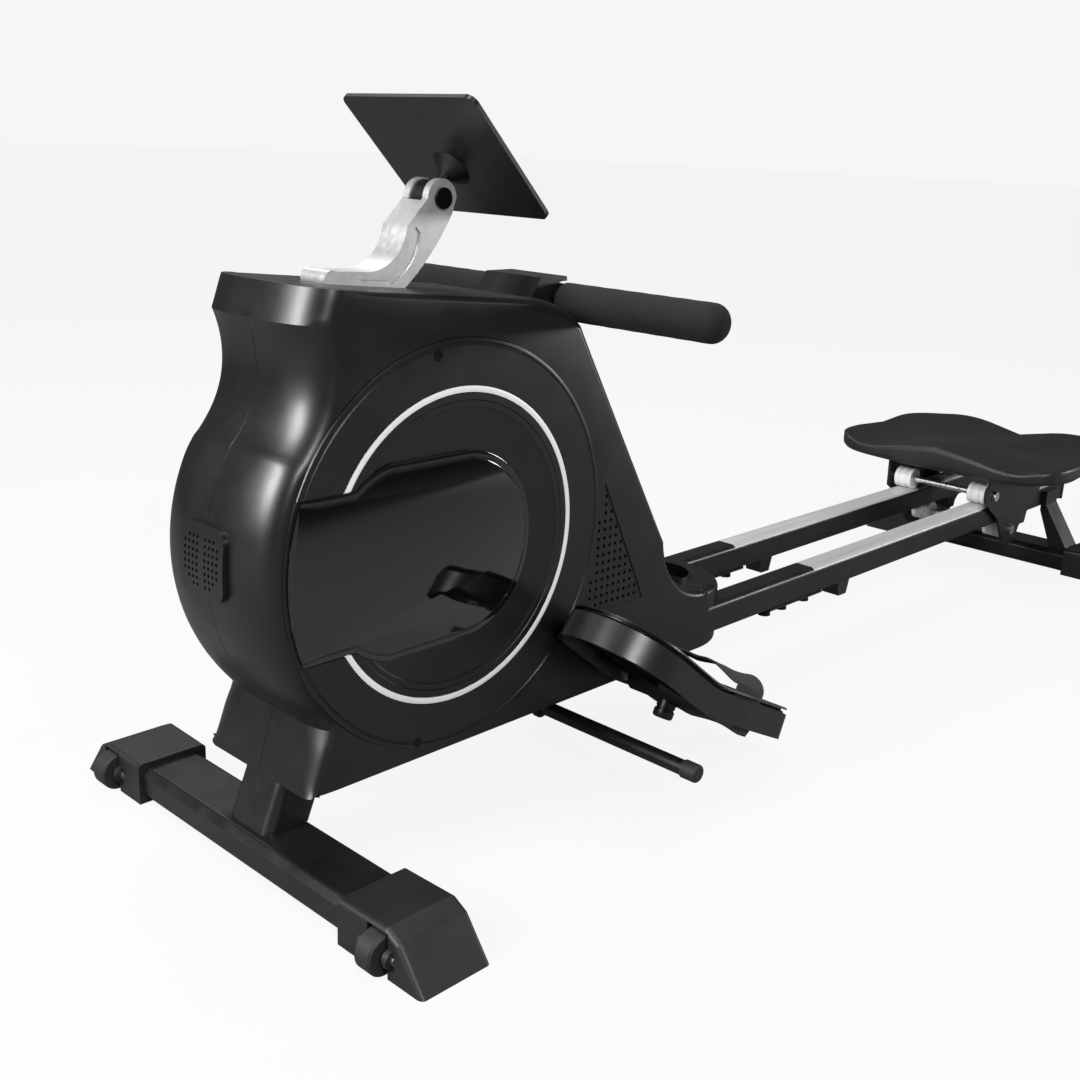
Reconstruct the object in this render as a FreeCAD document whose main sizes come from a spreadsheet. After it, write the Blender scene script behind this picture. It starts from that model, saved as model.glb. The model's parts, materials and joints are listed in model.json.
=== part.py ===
import FreeCAD, Part
import math
import os

import Sketcher
from FreeCAD import Placement, Rotation, Vector

# Magnetic rowing machine.  Millimetres, +Z up.  The user sits at +X and faces -X, so left is -Y.
# Sub-parts are drawn with x measured from the axis of the front stabilizer tube, y from the
# machine's middle plane and z from the floor.  Each one is then placed by front_axis_x, which puts
# the origin on the floor under the middle of the whole machine.

doc = FreeCAD.newDocument("rowing_machine")

SIZES = {
    "front_axis_x": (-754.5, "front stabilizer axis, from the origin"),
    "tube_width": (66, "stabilizer tube, width"),
    "tube_height": (34, "stabilizer tube, height"),
    "tube_gap": (3, "stabilizer tube, height over the floor"),
    "tube_wall": (2.5, "stabilizer tube, wall"),
    "front_tube_half": (174, "front stabilizer tube, half length"),
    "rear_tube_half": (146, "rear stabilizer tube, half length"),
    "rear_axis_x": (1500, "rear stabilizer axis"),
    "cap_half_width": (38, "stabilizer end cap, half width"),
    "front_cap_reach": (267, "front end cap, reach from the middle plane at the floor"),
    "rear_cap_reach": (228, "rear end cap, reach from the middle plane at the floor"),
    "wheel_radius": (19, "transport wheel, radius"),
    "wheel_width": (20, "transport wheel, width"),
    "wheel_y": (212, "transport wheel, middle"),
    "wheel_x": (-36, "transport wheel, axis"),
    "wheel_z": (19.6, "transport wheel, axis"),
    "wheel_bore": (4.05, "transport wheel, bore radius"),
    "wheel_bolt": (4, "transport wheel bolt, radius"),
    "housing_half": (80, "housing, half width"),
    "housing_wall": (3, "housing, wall"),
    "drum_x": (154, "housing drum, axis"),
    "drum_z": (290, "housing drum, axis"),
    "drum_radius": (206, "housing drum, radius"),
    "tower_x": (552, "cup holder tower, axis of its round end"),
    "disc_x": (162, "side cover, axis"),
    "disc_z": (289, "side cover, axis"),
    "disc_radius": (193, "side cover, radius"),
    "disc_proud": (2, "side cover, how far it stands out of the housing"),
    "ring_radius": (146, "accent ring, middle radius"),
    "ring_width": (6, "accent ring, width"),
    "beam_half": (25, "main beam, half width"),
    "beam_low": (100, "main beam, underside"),
    "beam_high": (140, "main beam, top"),
    "flywheel_x": (162, "flywheel, axis"),
    "flywheel_z": (289, "flywheel, axis"),
    "flywheel_radius": (140, "flywheel, radius"),
    "flywheel_width": (22, "flywheel, width"),
    "flywheel_y": (-19, "flywheel, middle plane"),
    "axle_radius": (6, "flywheel and spool axles, radius"),
    "bearing_bore": (6.05, "ball bearing, bore radius"),
    "bearing_radius": (14, "ball bearing, outer radius"),
    "spool_x": (262, "strap spool, axis"),
    "spool_z": (455, "strap spool, axis"),
    "coil_radius": (41, "wound strap, outer radius"),
    "pulley_radius": (44, "drive pulley, radius under the belt"),
    "pinion_radius": (16, "flywheel pulley, radius under the belt"),
    "belt_y": (34, "drive belt, middle plane"),
    "belt_width": (10, "drive belt, width"),
    "belt_thick": (2.4, "drive belt, thickness"),
    "handle_x": (335, "handle bar, axis"),
    "handle_z": (499, "handle bar, axis"),
    "handle_half": (232, "handle bar tube, half length"),
    "handle_tube": (12.5, "handle bar tube, radius"),
    "grip_radius": (18.4, "foam grip, radius"),
    "grip_start": (42, "foam grip, inner end"),
    "grip_end": (236, "foam grip, outer end"),
    "strap_width": (26, "pull strap, width"),
    "strap_thick": (2, "pull strap, thickness"),
    "hinge_x": (193, "tablet hinge, axis"),
    "hinge_z": (596, "tablet hinge, axis"),
    "hinge_radius": (17, "tablet hinge barrel, radius"),
    "arm_half": (17, "tablet arm, half width"),
    "tray_half": (88, "tablet tray, half width"),
    "tray_length": (141, "tablet tray, length along its slope"),
    "tray_slope": (45, "tablet tray, slope in degrees"),
    "rail_y": (62.5, "rail, middle plane"),
    "rail_width": (34, "rail, width"),
    "rail_low": (103, "rail, underside"),
    "rail_high": (137.5, "rail, top"),
    "rail_strip_z": (133.5, "rail, seat of the running strip"),
    "rail_wall": (2.5, "rail, wall"),
    "rail_start": (484, "front rail, hidden end"),
    "rail_joint": (707, "joint between front and rear rail"),
    "strip_start": (790, "running strip, front end"),
    "rail_end": (1556, "rear rail, rear end"),
    "seat_x": (1391, "seat, middle"),
    "seat_length": (310, "seat, length"),
    "seat_width": (380, "seat, width"),
    "seat_low": (188.3, "seat, underside"),
    "seat_high": (222, "seat, top of its pad"),
    "roller_radius": (16, "seat roller, radius"),
    "roller_width": (28, "seat roller, width"),
    "roller_bore": (5.05, "seat roller, bore radius"),
    "trolley_axle": (5, "seat roller axle, radius"),
    "front_roller_x": (1279, "front upper roller, axis"),
    "rear_roller_x": (1425, "rear upper roller, axis"),
    "low_roller_x": (1352, "lower roller, axis"),
    "trolley_inner": (83, "trolley side plate, inner face"),
    "trolley_outer": (87, "trolley side plate, outer face"),
    "pedal_x": (400, "pedal axle"),
    "pedal_z": (104, "pedal axle"),
    "pedal_axle": (8, "pedal axle, radius"),
    "pedal_bore": (8.05, "pedal bore, radius"),
    "pedal_inner": (100, "pedal, inner side"),
    "pedal_outer": (218, "pedal, outer side"),
    "pedal_depth": (36, "pedal, depth of its skirt"),
    "rest_x": (345, "pedal rest rod, axis"),
    "rest_z": (57, "pedal rest rod, axis"),
    "rest_radius": (8, "pedal rest rod, radius"),
    "rest_half": (236, "pedal rest rod, half length"),
    "knob_radius": (22, "tension knob, radius"),
}

sheet = doc.addObject("Spreadsheet::Sheet", "Sizes")
for row, (alias, (value, note)) in enumerate(SIZES.items(), 1):
    sheet.set(f"A{row}", note)
    sheet.set(f"B{row}", str(value))
    sheet.setAlias(f"B{row}", alias)
doc.recompute()

nodes = []


def size(alias):
    """A driving dimension, read from the sheet."""
    return float(sheet.get(alias))


def evaluate(text):
    """The value of an expression over the sheet."""
    result = sheet.evalExpression(text)
    return float(getattr(result, "Value", result))


def add_node(obj, label, at=(0, 0, 0), turn=Rotation()):
    """Names a finished sub-part and puts it in the machine's frame."""
    obj.Label = label
    base = Vector(size("front_axis_x"), 0, 0) + Vector(*at)
    obj.Placement = Placement(base, turn)
    nodes.append(obj)
    return obj


def add_shape(shape, label):
    """A sub-part whose form is made with Part's own functions."""
    feature = doc.addObject("Part::Feature", label)
    feature.Shape = shape
    own = shape.Placement
    return add_node(feature, label, own.Base, own.Rotation)


# ---- sketches and features -------------------------------------------------------------------


def new_body(name):
    return doc.addObject("PartDesign::Body", name + "_body")


def new_sketch(body, plane):
    sketch = body.newObject("Sketcher::SketchObject", body.Name + "_sketch")
    support = next(f for f in body.Origin.OriginFeatures if f.Role == plane)
    sketch.AttachmentSupport = [(support, "")]
    sketch.MapMode = "FlatFace"
    return sketch


def draw_polygon(sketch, corners):
    """A closed outline. Each corner is a pair of expressions over the sheet."""
    first = sketch.GeometryCount
    points = [Vector(evaluate(x), evaluate(y), 0) for x, y in corners]
    count = len(points)
    for i, point in enumerate(points):
        sketch.addGeometry(Part.LineSegment(point, points[(i + 1) % count]))
    for i in range(count):
        follower = first + (i + 1) % count
        sketch.addConstraint(Sketcher.Constraint("Coincident", first + i, 2, follower, 1))
    for i, (corner, point) in enumerate(zip(corners, points)):
        for kind, text, value in zip(("DistanceX", "DistanceY"), corner, point):
            number = sketch.addConstraint(Sketcher.Constraint(kind, -1, 1, first + i, 1, value))
            sketch.setExpression(f"Constraints[{number}]", text)


def rectangle(left, right, low, high):
    """Corners of a rectangle, from expressions."""
    return [(left, low), (right, low), (right, high), (left, high)]


def add_pad(body, sketch, length):
    """Pads a sketch half the length to each side of its plane."""
    pad = body.newObject("PartDesign::Pad", body.Name + "_pad")
    pad.Profile = sketch
    pad.SideType = "Symmetric"
    pad.setExpression("Length", length)
    return pad


def add_pocket(body, sketch):
    """Cuts a sketch right through the body, both ways from its plane."""
    pocket = body.newObject("PartDesign::Pocket", body.Name + "_pocket")
    pocket.Profile = sketch
    pocket.SideType = "Symmetric"
    pocket.Type = "ThroughAll"
    return pocket


def turned(name, profile, at):
    """A piece turned about the Y axis: profile is (radius, y) corners as expressions."""
    body = new_body(name)
    sketch = new_sketch(body, "XY_Plane")
    draw_polygon(sketch, profile)
    turn = body.newObject("PartDesign::Revolution", body.Name + "_turn")
    turn.Profile = sketch
    turn.ReferenceAxis = (sketch, ["V_Axis"])
    turn.Angle = 360
    return add_node(body, name, at)


def round_edges(body, radius, chosen):
    """Fillets the edges of the body's tip that the test chooses."""
    doc.recompute()
    tip = body.Tip
    names = [f"Edge{i}" for i, e in enumerate(tip.Shape.Edges, 1) if chosen(e)]
    fillet = body.newObject("PartDesign::Fillet", body.Name + "_fillet")
    fillet.Base = (tip, names)
    fillet.Radius = radius
    return fillet


def runs_along(axis):
    """A test for straight edges parallel to an axis."""

    def test(edge):
        return isinstance(edge.Curve, Part.Line) and abs(edge.Curve.Direction.dot(axis)) > 0.999

    return test


# ---- shapes ----------------------------------------------------------------------------------


def make_outline(start, steps):
    """Closed face in the XZ plane. A step is one point for a line, two for an arc."""
    here = Vector(start[0], 0, start[1])
    edges = []
    for step in steps + [(start,)]:
        points = [Vector(x, 0, z) for x, z in step]
        if (points[-1] - here).Length < 1e-6:
            continue
        if len(points) == 1:
            edges.append(Part.LineSegment(here, points[0]).toShape())
        else:
            edges.append(Part.Arc(here, points[0], points[1]).toShape())
        here = points[-1]
    return Part.Face(Part.Wire(edges))


def polygon_face(points):
    return make_outline(points[0], [(p,) for p in points[1:]])


def slab(face, y_from, y_to):
    """Pulls a face of the XZ plane from one y to another."""
    low, high = sorted((y_from, y_to))
    moved = face.copy()
    moved.translate(Vector(0, low, 0))
    return moved.extrude(Vector(0, high - low, 0))


def rod_y(radius, x, z, y_from, y_to):
    low, high = sorted((y_from, y_to))
    return Part.makeCylinder(radius, high - low, Vector(x, low, z), Vector(0, 1, 0))


def block(x_from, x_to, y_from, y_to, z_from, z_to):
    y_low, y_high = sorted((y_from, y_to))
    return Part.makeBox(x_to - x_from, y_high - y_low, z_to - z_from, Vector(x_from, y_low, z_from))


def mirrored(shape):
    """The same piece on the other side of the machine's middle plane."""
    return shape.mirror(Vector(0, 0, 0), Vector(0, 1, 0))


def both_sides(shape):
    return Part.makeCompound([shape, mirrored(shape)])


def fuse(first, *others):
    return first.multiFuse(list(others)).removeSplitter()


def add_left_right(shape, label):
    """The left piece as drawn at -Y, and its mirror image on the right."""
    add_shape(shape, label + "_left")
    add_shape(mirrored(shape), label + "_right")


# ---- stabilizers, end caps and transport wheels ----------------------------------------------


def tube_section(inset, corner):
    """Corners of the stabilizer tube's section in the XZ plane, with its corners cut off."""
    half = f"(Sizes.tube_width / 2 - {inset})"
    low = f"Sizes.tube_gap + {inset}"
    high = f"Sizes.tube_gap + Sizes.tube_height - {inset}"
    corners = []
    for side in ("-", ""):
        for level, sign in ((low, "+"), (high, "-")):
            steep = (f"{side}{half}", f"{level} {sign} {corner}")
            flat = (f"{side}{half} {'+' if side else '-'} {corner}", level)
            rising = (side == "-") == (sign == "+")
            corners.append([steep, flat] if rising else [flat, steep])
    low_left, high_left, low_right, high_right = corners
    return low_left + low_right + high_right + high_left


def stabilizer_tube(name, half_length, x):
    body = new_body(name)
    sketch = new_sketch(body, "XZ_Plane")
    draw_polygon(sketch, tube_section("0", "7"))
    add_pad(body, sketch, f"2 * Sizes.{half_length}")
    round_edges(body, 5, runs_along(Vector(0, 1, 0)))
    bore = new_sketch(body, "XZ_Plane")
    draw_polygon(bore, tube_section("Sizes.tube_wall", "6"))
    add_pocket(body, bore)
    return add_node(body, name, (x, 0, 0))


def end_cap(reach, start, crown, x):
    """A boot over the end of a stabilizer tube, drawn for the left side."""
    half = size("cap_half_width")
    face_points = [(start, 0), (start, crown), (reach - 45, crown + 2), (reach - 29, crown - 6)]
    face_points.append((reach, 0))
    wire = Part.makePolygon([Vector(x - half, -y, z) for y, z in face_points + face_points[:1]])
    cap = Part.Face(wire).extrude(Vector(2 * half, 0, 0))
    upright = [e for e in cap.Edges if e.BoundBox.ZMax > crown - 8 and e.BoundBox.YMin < -reach + 50]
    cap = cap.makeFillet(5, upright)
    return cap


def tube_plug(half_length, x):
    """The space a stabilizer tube takes inside its end caps."""
    half = size("tube_width") / 2
    low = size("tube_gap")
    solid = block(x - half, x + half, -half_length, half_length, low, low + size("tube_height"))
    edges = [e for e in solid.Edges if runs_along(Vector(0, 1, 0))(e)]
    return solid.makeChamfer(6.5, edges)


def make_front_end():
    stabilizer_tube("front_stabilizer_tube", "front_tube_half", 0)
    cap = end_cap(size("front_cap_reach"), 160, 43, 0).cut(tube_plug(size("front_tube_half"), 0))
    wheel_y = size("wheel_y")
    slot_half = size("wheel_width") / 2 + 3
    slot = block(-60, -12, -wheel_y - slot_half, -wheel_y + slot_half, -1, 41)
    bolt = rod_y(size("wheel_bolt"), size("wheel_x"), size("wheel_z"), -233, -190)
    ear = rod_y(9, size("wheel_x"), size("wheel_z"), -wheel_y - slot_half - 6, -wheel_y + slot_half + 6)
    cap = fuse(cap, ear.common(block(-60, -30, -233, -190, 0, 40))).cut(slot).cut(bolt)
    add_left_right(cap, "front_end_cap")
    add_shape(both_sides(bolt), "transport_wheel_bolts")
    rim = "Sizes.wheel_radius"
    half = "Sizes.wheel_width / 2"
    profile = [
        ("Sizes.wheel_bore", f"-{half}"),
        (f"{rim} - 2", f"-{half}"),
        (rim, f"-{half} + 2"),
        (rim, f"{half} - 2"),
        (f"{rim} - 2", half),
        ("Sizes.wheel_bore", half),
    ]
    for side, name in ((-1, "left"), (1, "right")):
        at = (size("wheel_x"), side * wheel_y, size("wheel_z"))
        turned("transport_wheel_" + name, profile, at)


def make_rear_end():
    x = size("rear_axis_x")
    outer = size("rail_y") + size("rail_width") / 2
    top = size("tube_gap") + size("tube_height")
    corners = [(outer, 96), (104, top), (134, top), (88, 106), (88, 128), (outer, 128)]
    wire = Part.makePolygon([Vector(x - 21, -y, z) for y, z in corners + corners[:1]])
    leg = Part.Face(wire).extrude(Vector(42, 0, 0))
    stabilizer_tube("rear_stabilizer_tube", "rear_tube_half", x)
    add_shape(both_sides(leg), "rear_legs")
    cap = end_cap(size("rear_cap_reach"), 136, 43, x).cut(tube_plug(size("rear_tube_half"), x))
    add_shape(both_sides(cap), "rear_end_caps")


# ---- frame -----------------------------------------------------------------------------------


def make_neck():
    """The slanted square tube between the front stabilizer and the main beam."""
    corners = [(-20, -31), (32, -31), (32, 31), (-20, 31), (-20, -31)]
    base = Part.makePolygon([Vector(x, y, 36) for x, y in corners])
    neck = Part.Face(base).extrude(Vector(36, 0, 90))
    edges = [e for e in neck.Edges if abs(e.tangentAt(e.FirstParameter).z) > 0.5]
    neck = neck.makeFillet(10, edges)
    return neck.cut(tube_plug(size("front_tube_half"), 0))


def make_main_frame():
    low = size("beam_low")
    high = size("beam_high")
    half = size("beam_half")
    inner = size("rail_y") - size("rail_width") / 2
    beam = block(24, 512, -half, half, low, high)
    cross = block(486, 512, -inner, inner, size("rail_low"), 134)
    base = block(118, 262, -50, 50, high, high + 5)
    frame = fuse(make_neck(), beam, cross, base)
    axle = rod_y(size("pedal_axle"), size("pedal_x"), size("pedal_z"), -half, half)
    add_shape(frame.cut(axle), "main_frame")


def make_mechanism_plates():
    """Two uprights on the beam that hold the flywheel axle and the spool axle."""
    foot = size("beam_high") + 5
    outline = make_outline(
        (122, foot),
        [((258, foot),), ((296, 440),), ((286, 474), (262, 482)), ((238, 474), (234, 450)), ((128, 300),)],
    )
    plate = slab(outline, -50, -46)
    for name in ("flywheel", "spool"):
        hole = rod_y(size("axle_radius"), size(name + "_x"), size(name + "_z"), -60, -40)
        plate = plate.cut(hole)
    pivot = magnet_pivot()
    stud = rod_y(4, pivot.x, pivot.z, -46, -4)
    head = rod_y(7, pivot.x, pivot.z, -4, -2)
    add_shape(Part.makeCompound([fuse(plate, stud, head), mirrored(plate)]), "mechanism_plates")


def make_rails():
    fronts = []
    for name, y in (("left", -size("rail_y")), ("right", size("rail_y"))):
        front = rail_body("front_rail_" + name, "rail_start", "rail_joint")
        front.Placement = Placement(Vector(0, y, 0), Rotation())
        fronts.append(front)
        rear = rail_body("rear_rail_" + name, "rail_joint", "rail_end")
        add_node(rear, "rear_rail_" + name, (0, y, 0))
    pair = doc.addObject("Part::Compound", "front_rails")
    pair.Links = fronts
    add_node(pair, "front_rails")


def rail_body(name, start, end):
    """A closed rail, round at its top corners, with a seat for the running strip."""
    body = new_body(name)
    half = "Sizes.rail_width / 2"
    sketch = new_sketch(body, "YZ_Plane")
    draw_polygon(sketch, rectangle(f"-{half}", half, "Sizes.rail_low", "Sizes.rail_high"))
    pad = body.newObject("PartDesign::Pad", body.Name + "_pad")
    pad.Profile = sketch
    pad.SideType = "Two sides"
    pad.setExpression("Length", f"Sizes.{end}")
    pad.setExpression("Length2", f"-Sizes.{start}")
    high = size("rail_high") - 0.5
    round_edges(body, 7, lambda e: runs_along(Vector(1, 0, 0))(e) and e.BoundBox.ZMin > high)
    round_edges(body, 2, lambda e: runs_along(Vector(1, 0, 0))(e) and e.BoundBox.ZMax < high - 20)
    wall = "Sizes.rail_wall"
    bore = new_sketch(body, "YZ_Plane")
    top = f"Sizes.rail_strip_z - {wall}"
    low = f"Sizes.rail_low + {wall}"
    draw_polygon(bore, rectangle(f"-{half} + {wall}", f"{half} - {wall}", low, top))
    add_pocket(body, bore)
    if end == "rail_end":
        seat = new_sketch(body, "XZ_Plane")
        span = ("Sizes.strip_start", "Sizes.rail_end + 5")
        draw_polygon(seat, rectangle(*span, "Sizes.rail_strip_z", "Sizes.rail_high + 5"))
        add_pocket(body, seat)
    return body


def make_rail_fittings():
    y = size("rail_y")
    half = size("rail_width") / 2
    low = size("rail_low")
    seat = size("rail_strip_z")
    high = size("rail_high")
    end = size("rail_end")
    strip = block(size("strip_start"), end, -y - half, -y + half, seat - 8, high)
    edges = [e for e in strip.Edges if runs_along(Vector(1, 0, 0))(e) and e.BoundBox.ZMin > high - 1]
    strip = strip.makeFillet(7, edges).common(block(0, 2000, -200, 0, seat, 200))
    add_shape(both_sides(strip), "running_strips")
    plate = block(694, 812, -y - half, -y + half, low - 3, low)
    knobs = []
    for x in (707, 743, 794):
        plate = plate.cut(Part.makeCylinder(3, 10, Vector(x, -y, low - 6)))
        knobs.append(Part.makeCylinder(3, 3, Vector(x, -y, low - 3)))
        knobs[-1] = fuse(knobs[-1], Part.makeCone(8, 6.5, 11, Vector(x, -y, low - 14)))
    add_shape(both_sides(plate), "splice_plates")
    add_shape(both_sides(Part.makeCompound(knobs)), "splice_knobs")
    stops = [stop_block(872, y, low), stop_block(1422, y, low)]
    add_shape(both_sides(Part.makeCompound(stops)), "stop_blocks")
    plug_half = half - size("rail_wall")
    plug = block(end - 18, end, -y - plug_half, -y + plug_half, low + 2.5, seat - 2.5)
    lid = block(end, end + 10, -y - half - 1, -y + half + 1, low - 1, high + 1)
    lid = lid.makeFillet(4, [e for e in lid.Edges if e.BoundBox.XMin > end + 5])
    add_shape(both_sides(fuse(plug, lid)), "rail_end_caps")


def stop_block(x, y, low):
    """A tapered bumper under a rail that a lower roller meets at the end of its travel."""
    face = polygon_face([(x - 15, low), (x - 9, low - 21), (x + 9, low - 21), (x + 15, low)])
    return slab(face, -y - 13, -y + 13)


# ---- housing ---------------------------------------------------------------------------------


def housing_face():
    """Side outline of the housing: chin, drum, waist, visor, top, rear slope and tower."""
    drum_x = size("drum_x")
    drum_z = size("drum_z")
    radius = size("drum_radius")
    return make_outline(
        (-6, 88),
        [
            ((13, 146),),
            ((drum_x - radius, drum_z), (-24, 395)),
            ((3, 452), (-6, 501)),
            ((-6, 518), (4, 531)),
            ((245, 510),),
            ((290, 501), (322, 481)),
            ((474, 235),),
            ((504, 178), (556, 160)),
            ((640, 157),),
            ((640, 104),),
            ((634, 93), (622, 88)),
        ],
    )


def plan_prism(half, end_radius):
    """The housing seen from above: straight sides and a round end about the tower."""
    x = size("tower_x")
    box = block(-80, x, -half, half, 60, 560)
    return fuse(box, Part.makeCylinder(end_radius, 500, Vector(x, 0, 60)))


def housing_half():
    """The left half shell with every opening it needs."""
    half = size("housing_half")
    wall = size("housing_wall")
    face = housing_face()
    solid = slab(face, -half, 0)
    solid = solid.common(plan_prism(half, half))
    cavity = slab(housing_face().makeOffset2D(-wall), -half + wall, 1)
    cavity = cavity.common(plan_prism(half - wall, half - wall))
    shell = solid.cut(cavity)
    for opening in housing_openings():
        shell = shell.cut(opening)
    return shell


def housing_openings():
    half = size("housing_half")
    rail_half = size("rail_width") / 2 + 0.6
    y = size("rail_y")
    low = size("rail_low")
    disc = (size("disc_x"), size("disc_z"))
    radius = size("disc_radius")
    openings = [
        block(-2, 84, -37, 1, 60, 95),
        block(330, 408, -28, 1, 60, 95),
        rod_y(9, size("pedal_x"), size("pedal_z"), -half - 5, 0),
        block(480, 660, -y - rail_half, -y + rail_half, low - 0.6, size("rail_high") + 0.6),
        rod_y(radius - 7, disc[0], disc[1], -half - 5, -half + 8),
        rod_y(radius + 0.2, disc[0], disc[1], -half - 5, -half + 1.5),
        cup_space(),
        slab(dock_hull(), -39, 1),
        block(274, 300, -15, 1, 490, 499.4),
        vent_block(),
        slab(grille_face(), -half - 1, -half + 5),
        knob_rod(6, -20, 20),
    ]
    return openings


def cup_space():
    return Part.makeCylinder(43, 200, Vector(560, 0, 104.5))


def dock_hull():
    """Side outline of the space for the handle dock."""
    x = size("handle_x")
    z = size("handle_z")
    points = [(-46, 4), (-32, 24), (4, 24), (6, -26), (-14, -33), (-44, -20)]
    return polygon_face([(x + dx, z + dz) for dx, dz in points])


def vent_block():
    drum_x = size("drum_x")
    drum_z = size("drum_z")
    radius = size("drum_radius")
    box = block(-70, -30, -33, 33, 268, 332)
    edges = [e for e in box.Edges if runs_along(Vector(1, 0, 0))(e)]
    box = box.makeFillet(14, edges)
    return box.common(rod_y(radius + 5, drum_x, drum_z, -60, 60))


def grille_face():
    return polygon_face([(366, 318), (438, 178), (341, 178), (353, 235), (359, 280)])


def knob_axis():
    """A point on the rear slope and the slope's outward normal."""
    return Vector(398, 0, 358), Vector(246, 0, 152).normalize()


def knob_rod(radius, inside, outside):
    point, normal = knob_axis()
    return Part.makeCylinder(radius, outside - inside, point + normal * inside, normal)


def make_housing():
    add_left_right(housing_half(), "housing")


def make_side_covers():
    half = size("housing_half")
    proud = size("disc_proud")
    x = size("disc_x")
    z = size("disc_z")
    radius = size("disc_radius")
    ring = size("ring_radius")
    width = size("ring_width")
    face_y = -half - proud
    disc = rod_y(radius, x, z, face_y, -half + 1.5)
    edge = [e for e in disc.Edges if abs(e.BoundBox.YMin - face_y) < 0.01 and e.BoundBox.YLength < 0.1]
    disc = disc.makeFillet(1.4, edge)
    spigot = rod_y(radius - 7.2, x, z, -half + 1.5, -half + 4)
    dish = Part.makeCone(ring - 12, ring - 20, 3, Vector(x, face_y, z), Vector(0, 1, 0))
    groove = rod_y(ring + width / 2, x, z, face_y, face_y + 1.6)
    groove = groove.cut(rod_y(ring - width / 2, x, z, face_y, face_y + 1.6))
    panel = slab(panel_face(), face_y - 1.5, face_y + 1.5)
    panel = panel.common(rod_y(radius - 4, x, z, face_y - 5, face_y + 5))
    cover = fuse(disc, spigot).cut(dish).cut(groove).cut(panel)
    screws = [rod_y(4, sx, sz, face_y, face_y + 3) for sx, sz in ((133, 468), (115, 108))]
    for screw in screws:
        cover = cover.cut(screw)
    add_left_right(cover, "disc_cover")
    add_shape(both_sides(groove.cut(panel)), "accent_rings")
    add_shape(both_sides(panel), "gloss_panels")
    sunk = [rod_y(3.9, s.BoundBox.Center.x, s.BoundBox.Center.z, face_y + 1, face_y + 3) for s in screws]
    add_shape(both_sides(Part.makeCompound(sunk)), "cover_screws")


def panel_face():
    """The gloss panel: open towards the drum's front, round towards its middle."""
    return make_outline(
        (-60, 216.5),
        [
            ((-60, 361.5),),
            ((43, 361.5),),
            ((58, 371.5), (80, 379)),
            ((173, 379),),
            ((230, 352), (253, 289)),
            ((230, 226), (173, 199)),
            ((80, 199),),
            ((58, 206.5), (43, 216.5)),
        ],
    )


def make_vents():
    drum = rod_y(size("drum_radius") - size("housing_wall"), size("drum_x"), size("drum_z"), -60, 60)
    vent = vent_block().cut(drum)
    for z in range(278, 326, 6):
        for y in range(-24, 27, 6):
            if abs(y) > 4 and abs(z - 300) + abs(y) < 40:
                vent = vent.cut(Part.makeCylinder(1.6, 40, Vector(-70, y, z), Vector(1, 0, 0)))
    add_shape(vent, "front_vent")
    half = size("housing_half")
    plate = slab(grille_face(), -half + 1, -half + 3)
    for x in range(352, 430, 9):
        for z in range(186, 312, 9):
            hole = rod_y(2, x, z, -half - 1, -half + 4)
            if plate.common(hole).Volume > 0.99 * 2 * 2 * 2 * math.pi:
                plate = plate.cut(hole)
    add_shape(both_sides(plate), "side_grilles")


def make_cup_holder():
    """A bucket between the rails, with a rim that slopes like the tower's top."""
    cup = Part.makeCylinder(43, 80, Vector(560, 0, 104.5))
    cup = cup.cut(Part.makeCylinder(40, 80, Vector(560, 0, 107.5)))
    slope = polygon_face([(500, 186), (560, 163), (640, 160), (640, 260), (500, 260)])
    cup = cup.cut(slab(slope, -60, 60))
    add_shape(cup, "cup_holder")


# ---- handle, strap and dock ------------------------------------------------------------------


def make_handle_dock():
    x = size("handle_x")
    z = size("handle_z")
    inner = size("grip_radius") + 1
    mouth = block(x, x + 40, -40, 40, z - inner, z + inner)
    slot = block(x - 60, x, -15, 15, z - 5.5, z + 1.5)
    dock = slab(dock_hull(), -38.5, 38.5)
    pulley = rod_y(size("pulley_radius") + 6, size("spool_x"), size("spool_z"), -40, 40)
    dock = dock.cut(rod_y(inner, x, z, -40, 40)).cut(mouth).cut(slot).cut(pulley)
    add_shape(dock, "handle_dock")


def make_handle():
    x = size("handle_x")
    z = size("handle_z")
    start = size("grip_start")
    tube = size("handle_tube")
    length = size("handle_half")
    bar = doc.addObject("Part::Cylinder", "handle_tube")
    bar.setExpression("Radius", "Sizes.handle_tube")
    bar.setExpression("Height", "2 * Sizes.handle_half")
    bar.Placement = Placement(Vector(x, -length, z), Rotation(Vector(1, 0, 0), -90))
    sleeve = doc.addObject("Part::Cylinder", "handle_sleeve")
    sleeve.setExpression("Radius", "Sizes.grip_radius - 1.4")
    sleeve.setExpression("Height", "2 * Sizes.grip_start - 6")
    sleeve.Placement = Placement(Vector(x, -start + 3, z), Rotation(Vector(1, 0, 0), -90))
    union = doc.addObject("Part::Fuse", "handle_bar")
    union.Base = bar
    union.Tool = sleeve
    add_node(union, "handle_bar")
    grip = rod_y(size("grip_radius"), x, z, -size("grip_end"), -start)
    rims = [e for e in grip.Edges if e.BoundBox.YLength < 0.1 and abs(e.BoundBox.YMin + size("grip_end")) < 1]
    grip = grip.makeFillet(13, rims).cut(rod_y(tube, x, z, -length, 0))
    add_shape(both_sides(grip), "foam_grips")


def make_strap():
    """The straight run of the strap between the spool and the handle."""
    half = size("strap_width") / 2
    x = size("handle_x")
    low = size("spool_z") + size("coil_radius") + 0.1
    sleeve = rod_y(size("grip_radius") - 1.4, x, size("handle_z"), -2 * half, 2 * half)
    strap = block(size("spool_x"), x - 5, -half, half, low, low + size("strap_thick"))
    add_shape(strap.cut(sleeve), "pull_strap")


# ---- tablet holder ---------------------------------------------------------------------------


def top_line(x):
    """Height of the housing's top at x."""
    return 531 + (x - 4) * (510 - 531) / (245 - 4)


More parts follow.
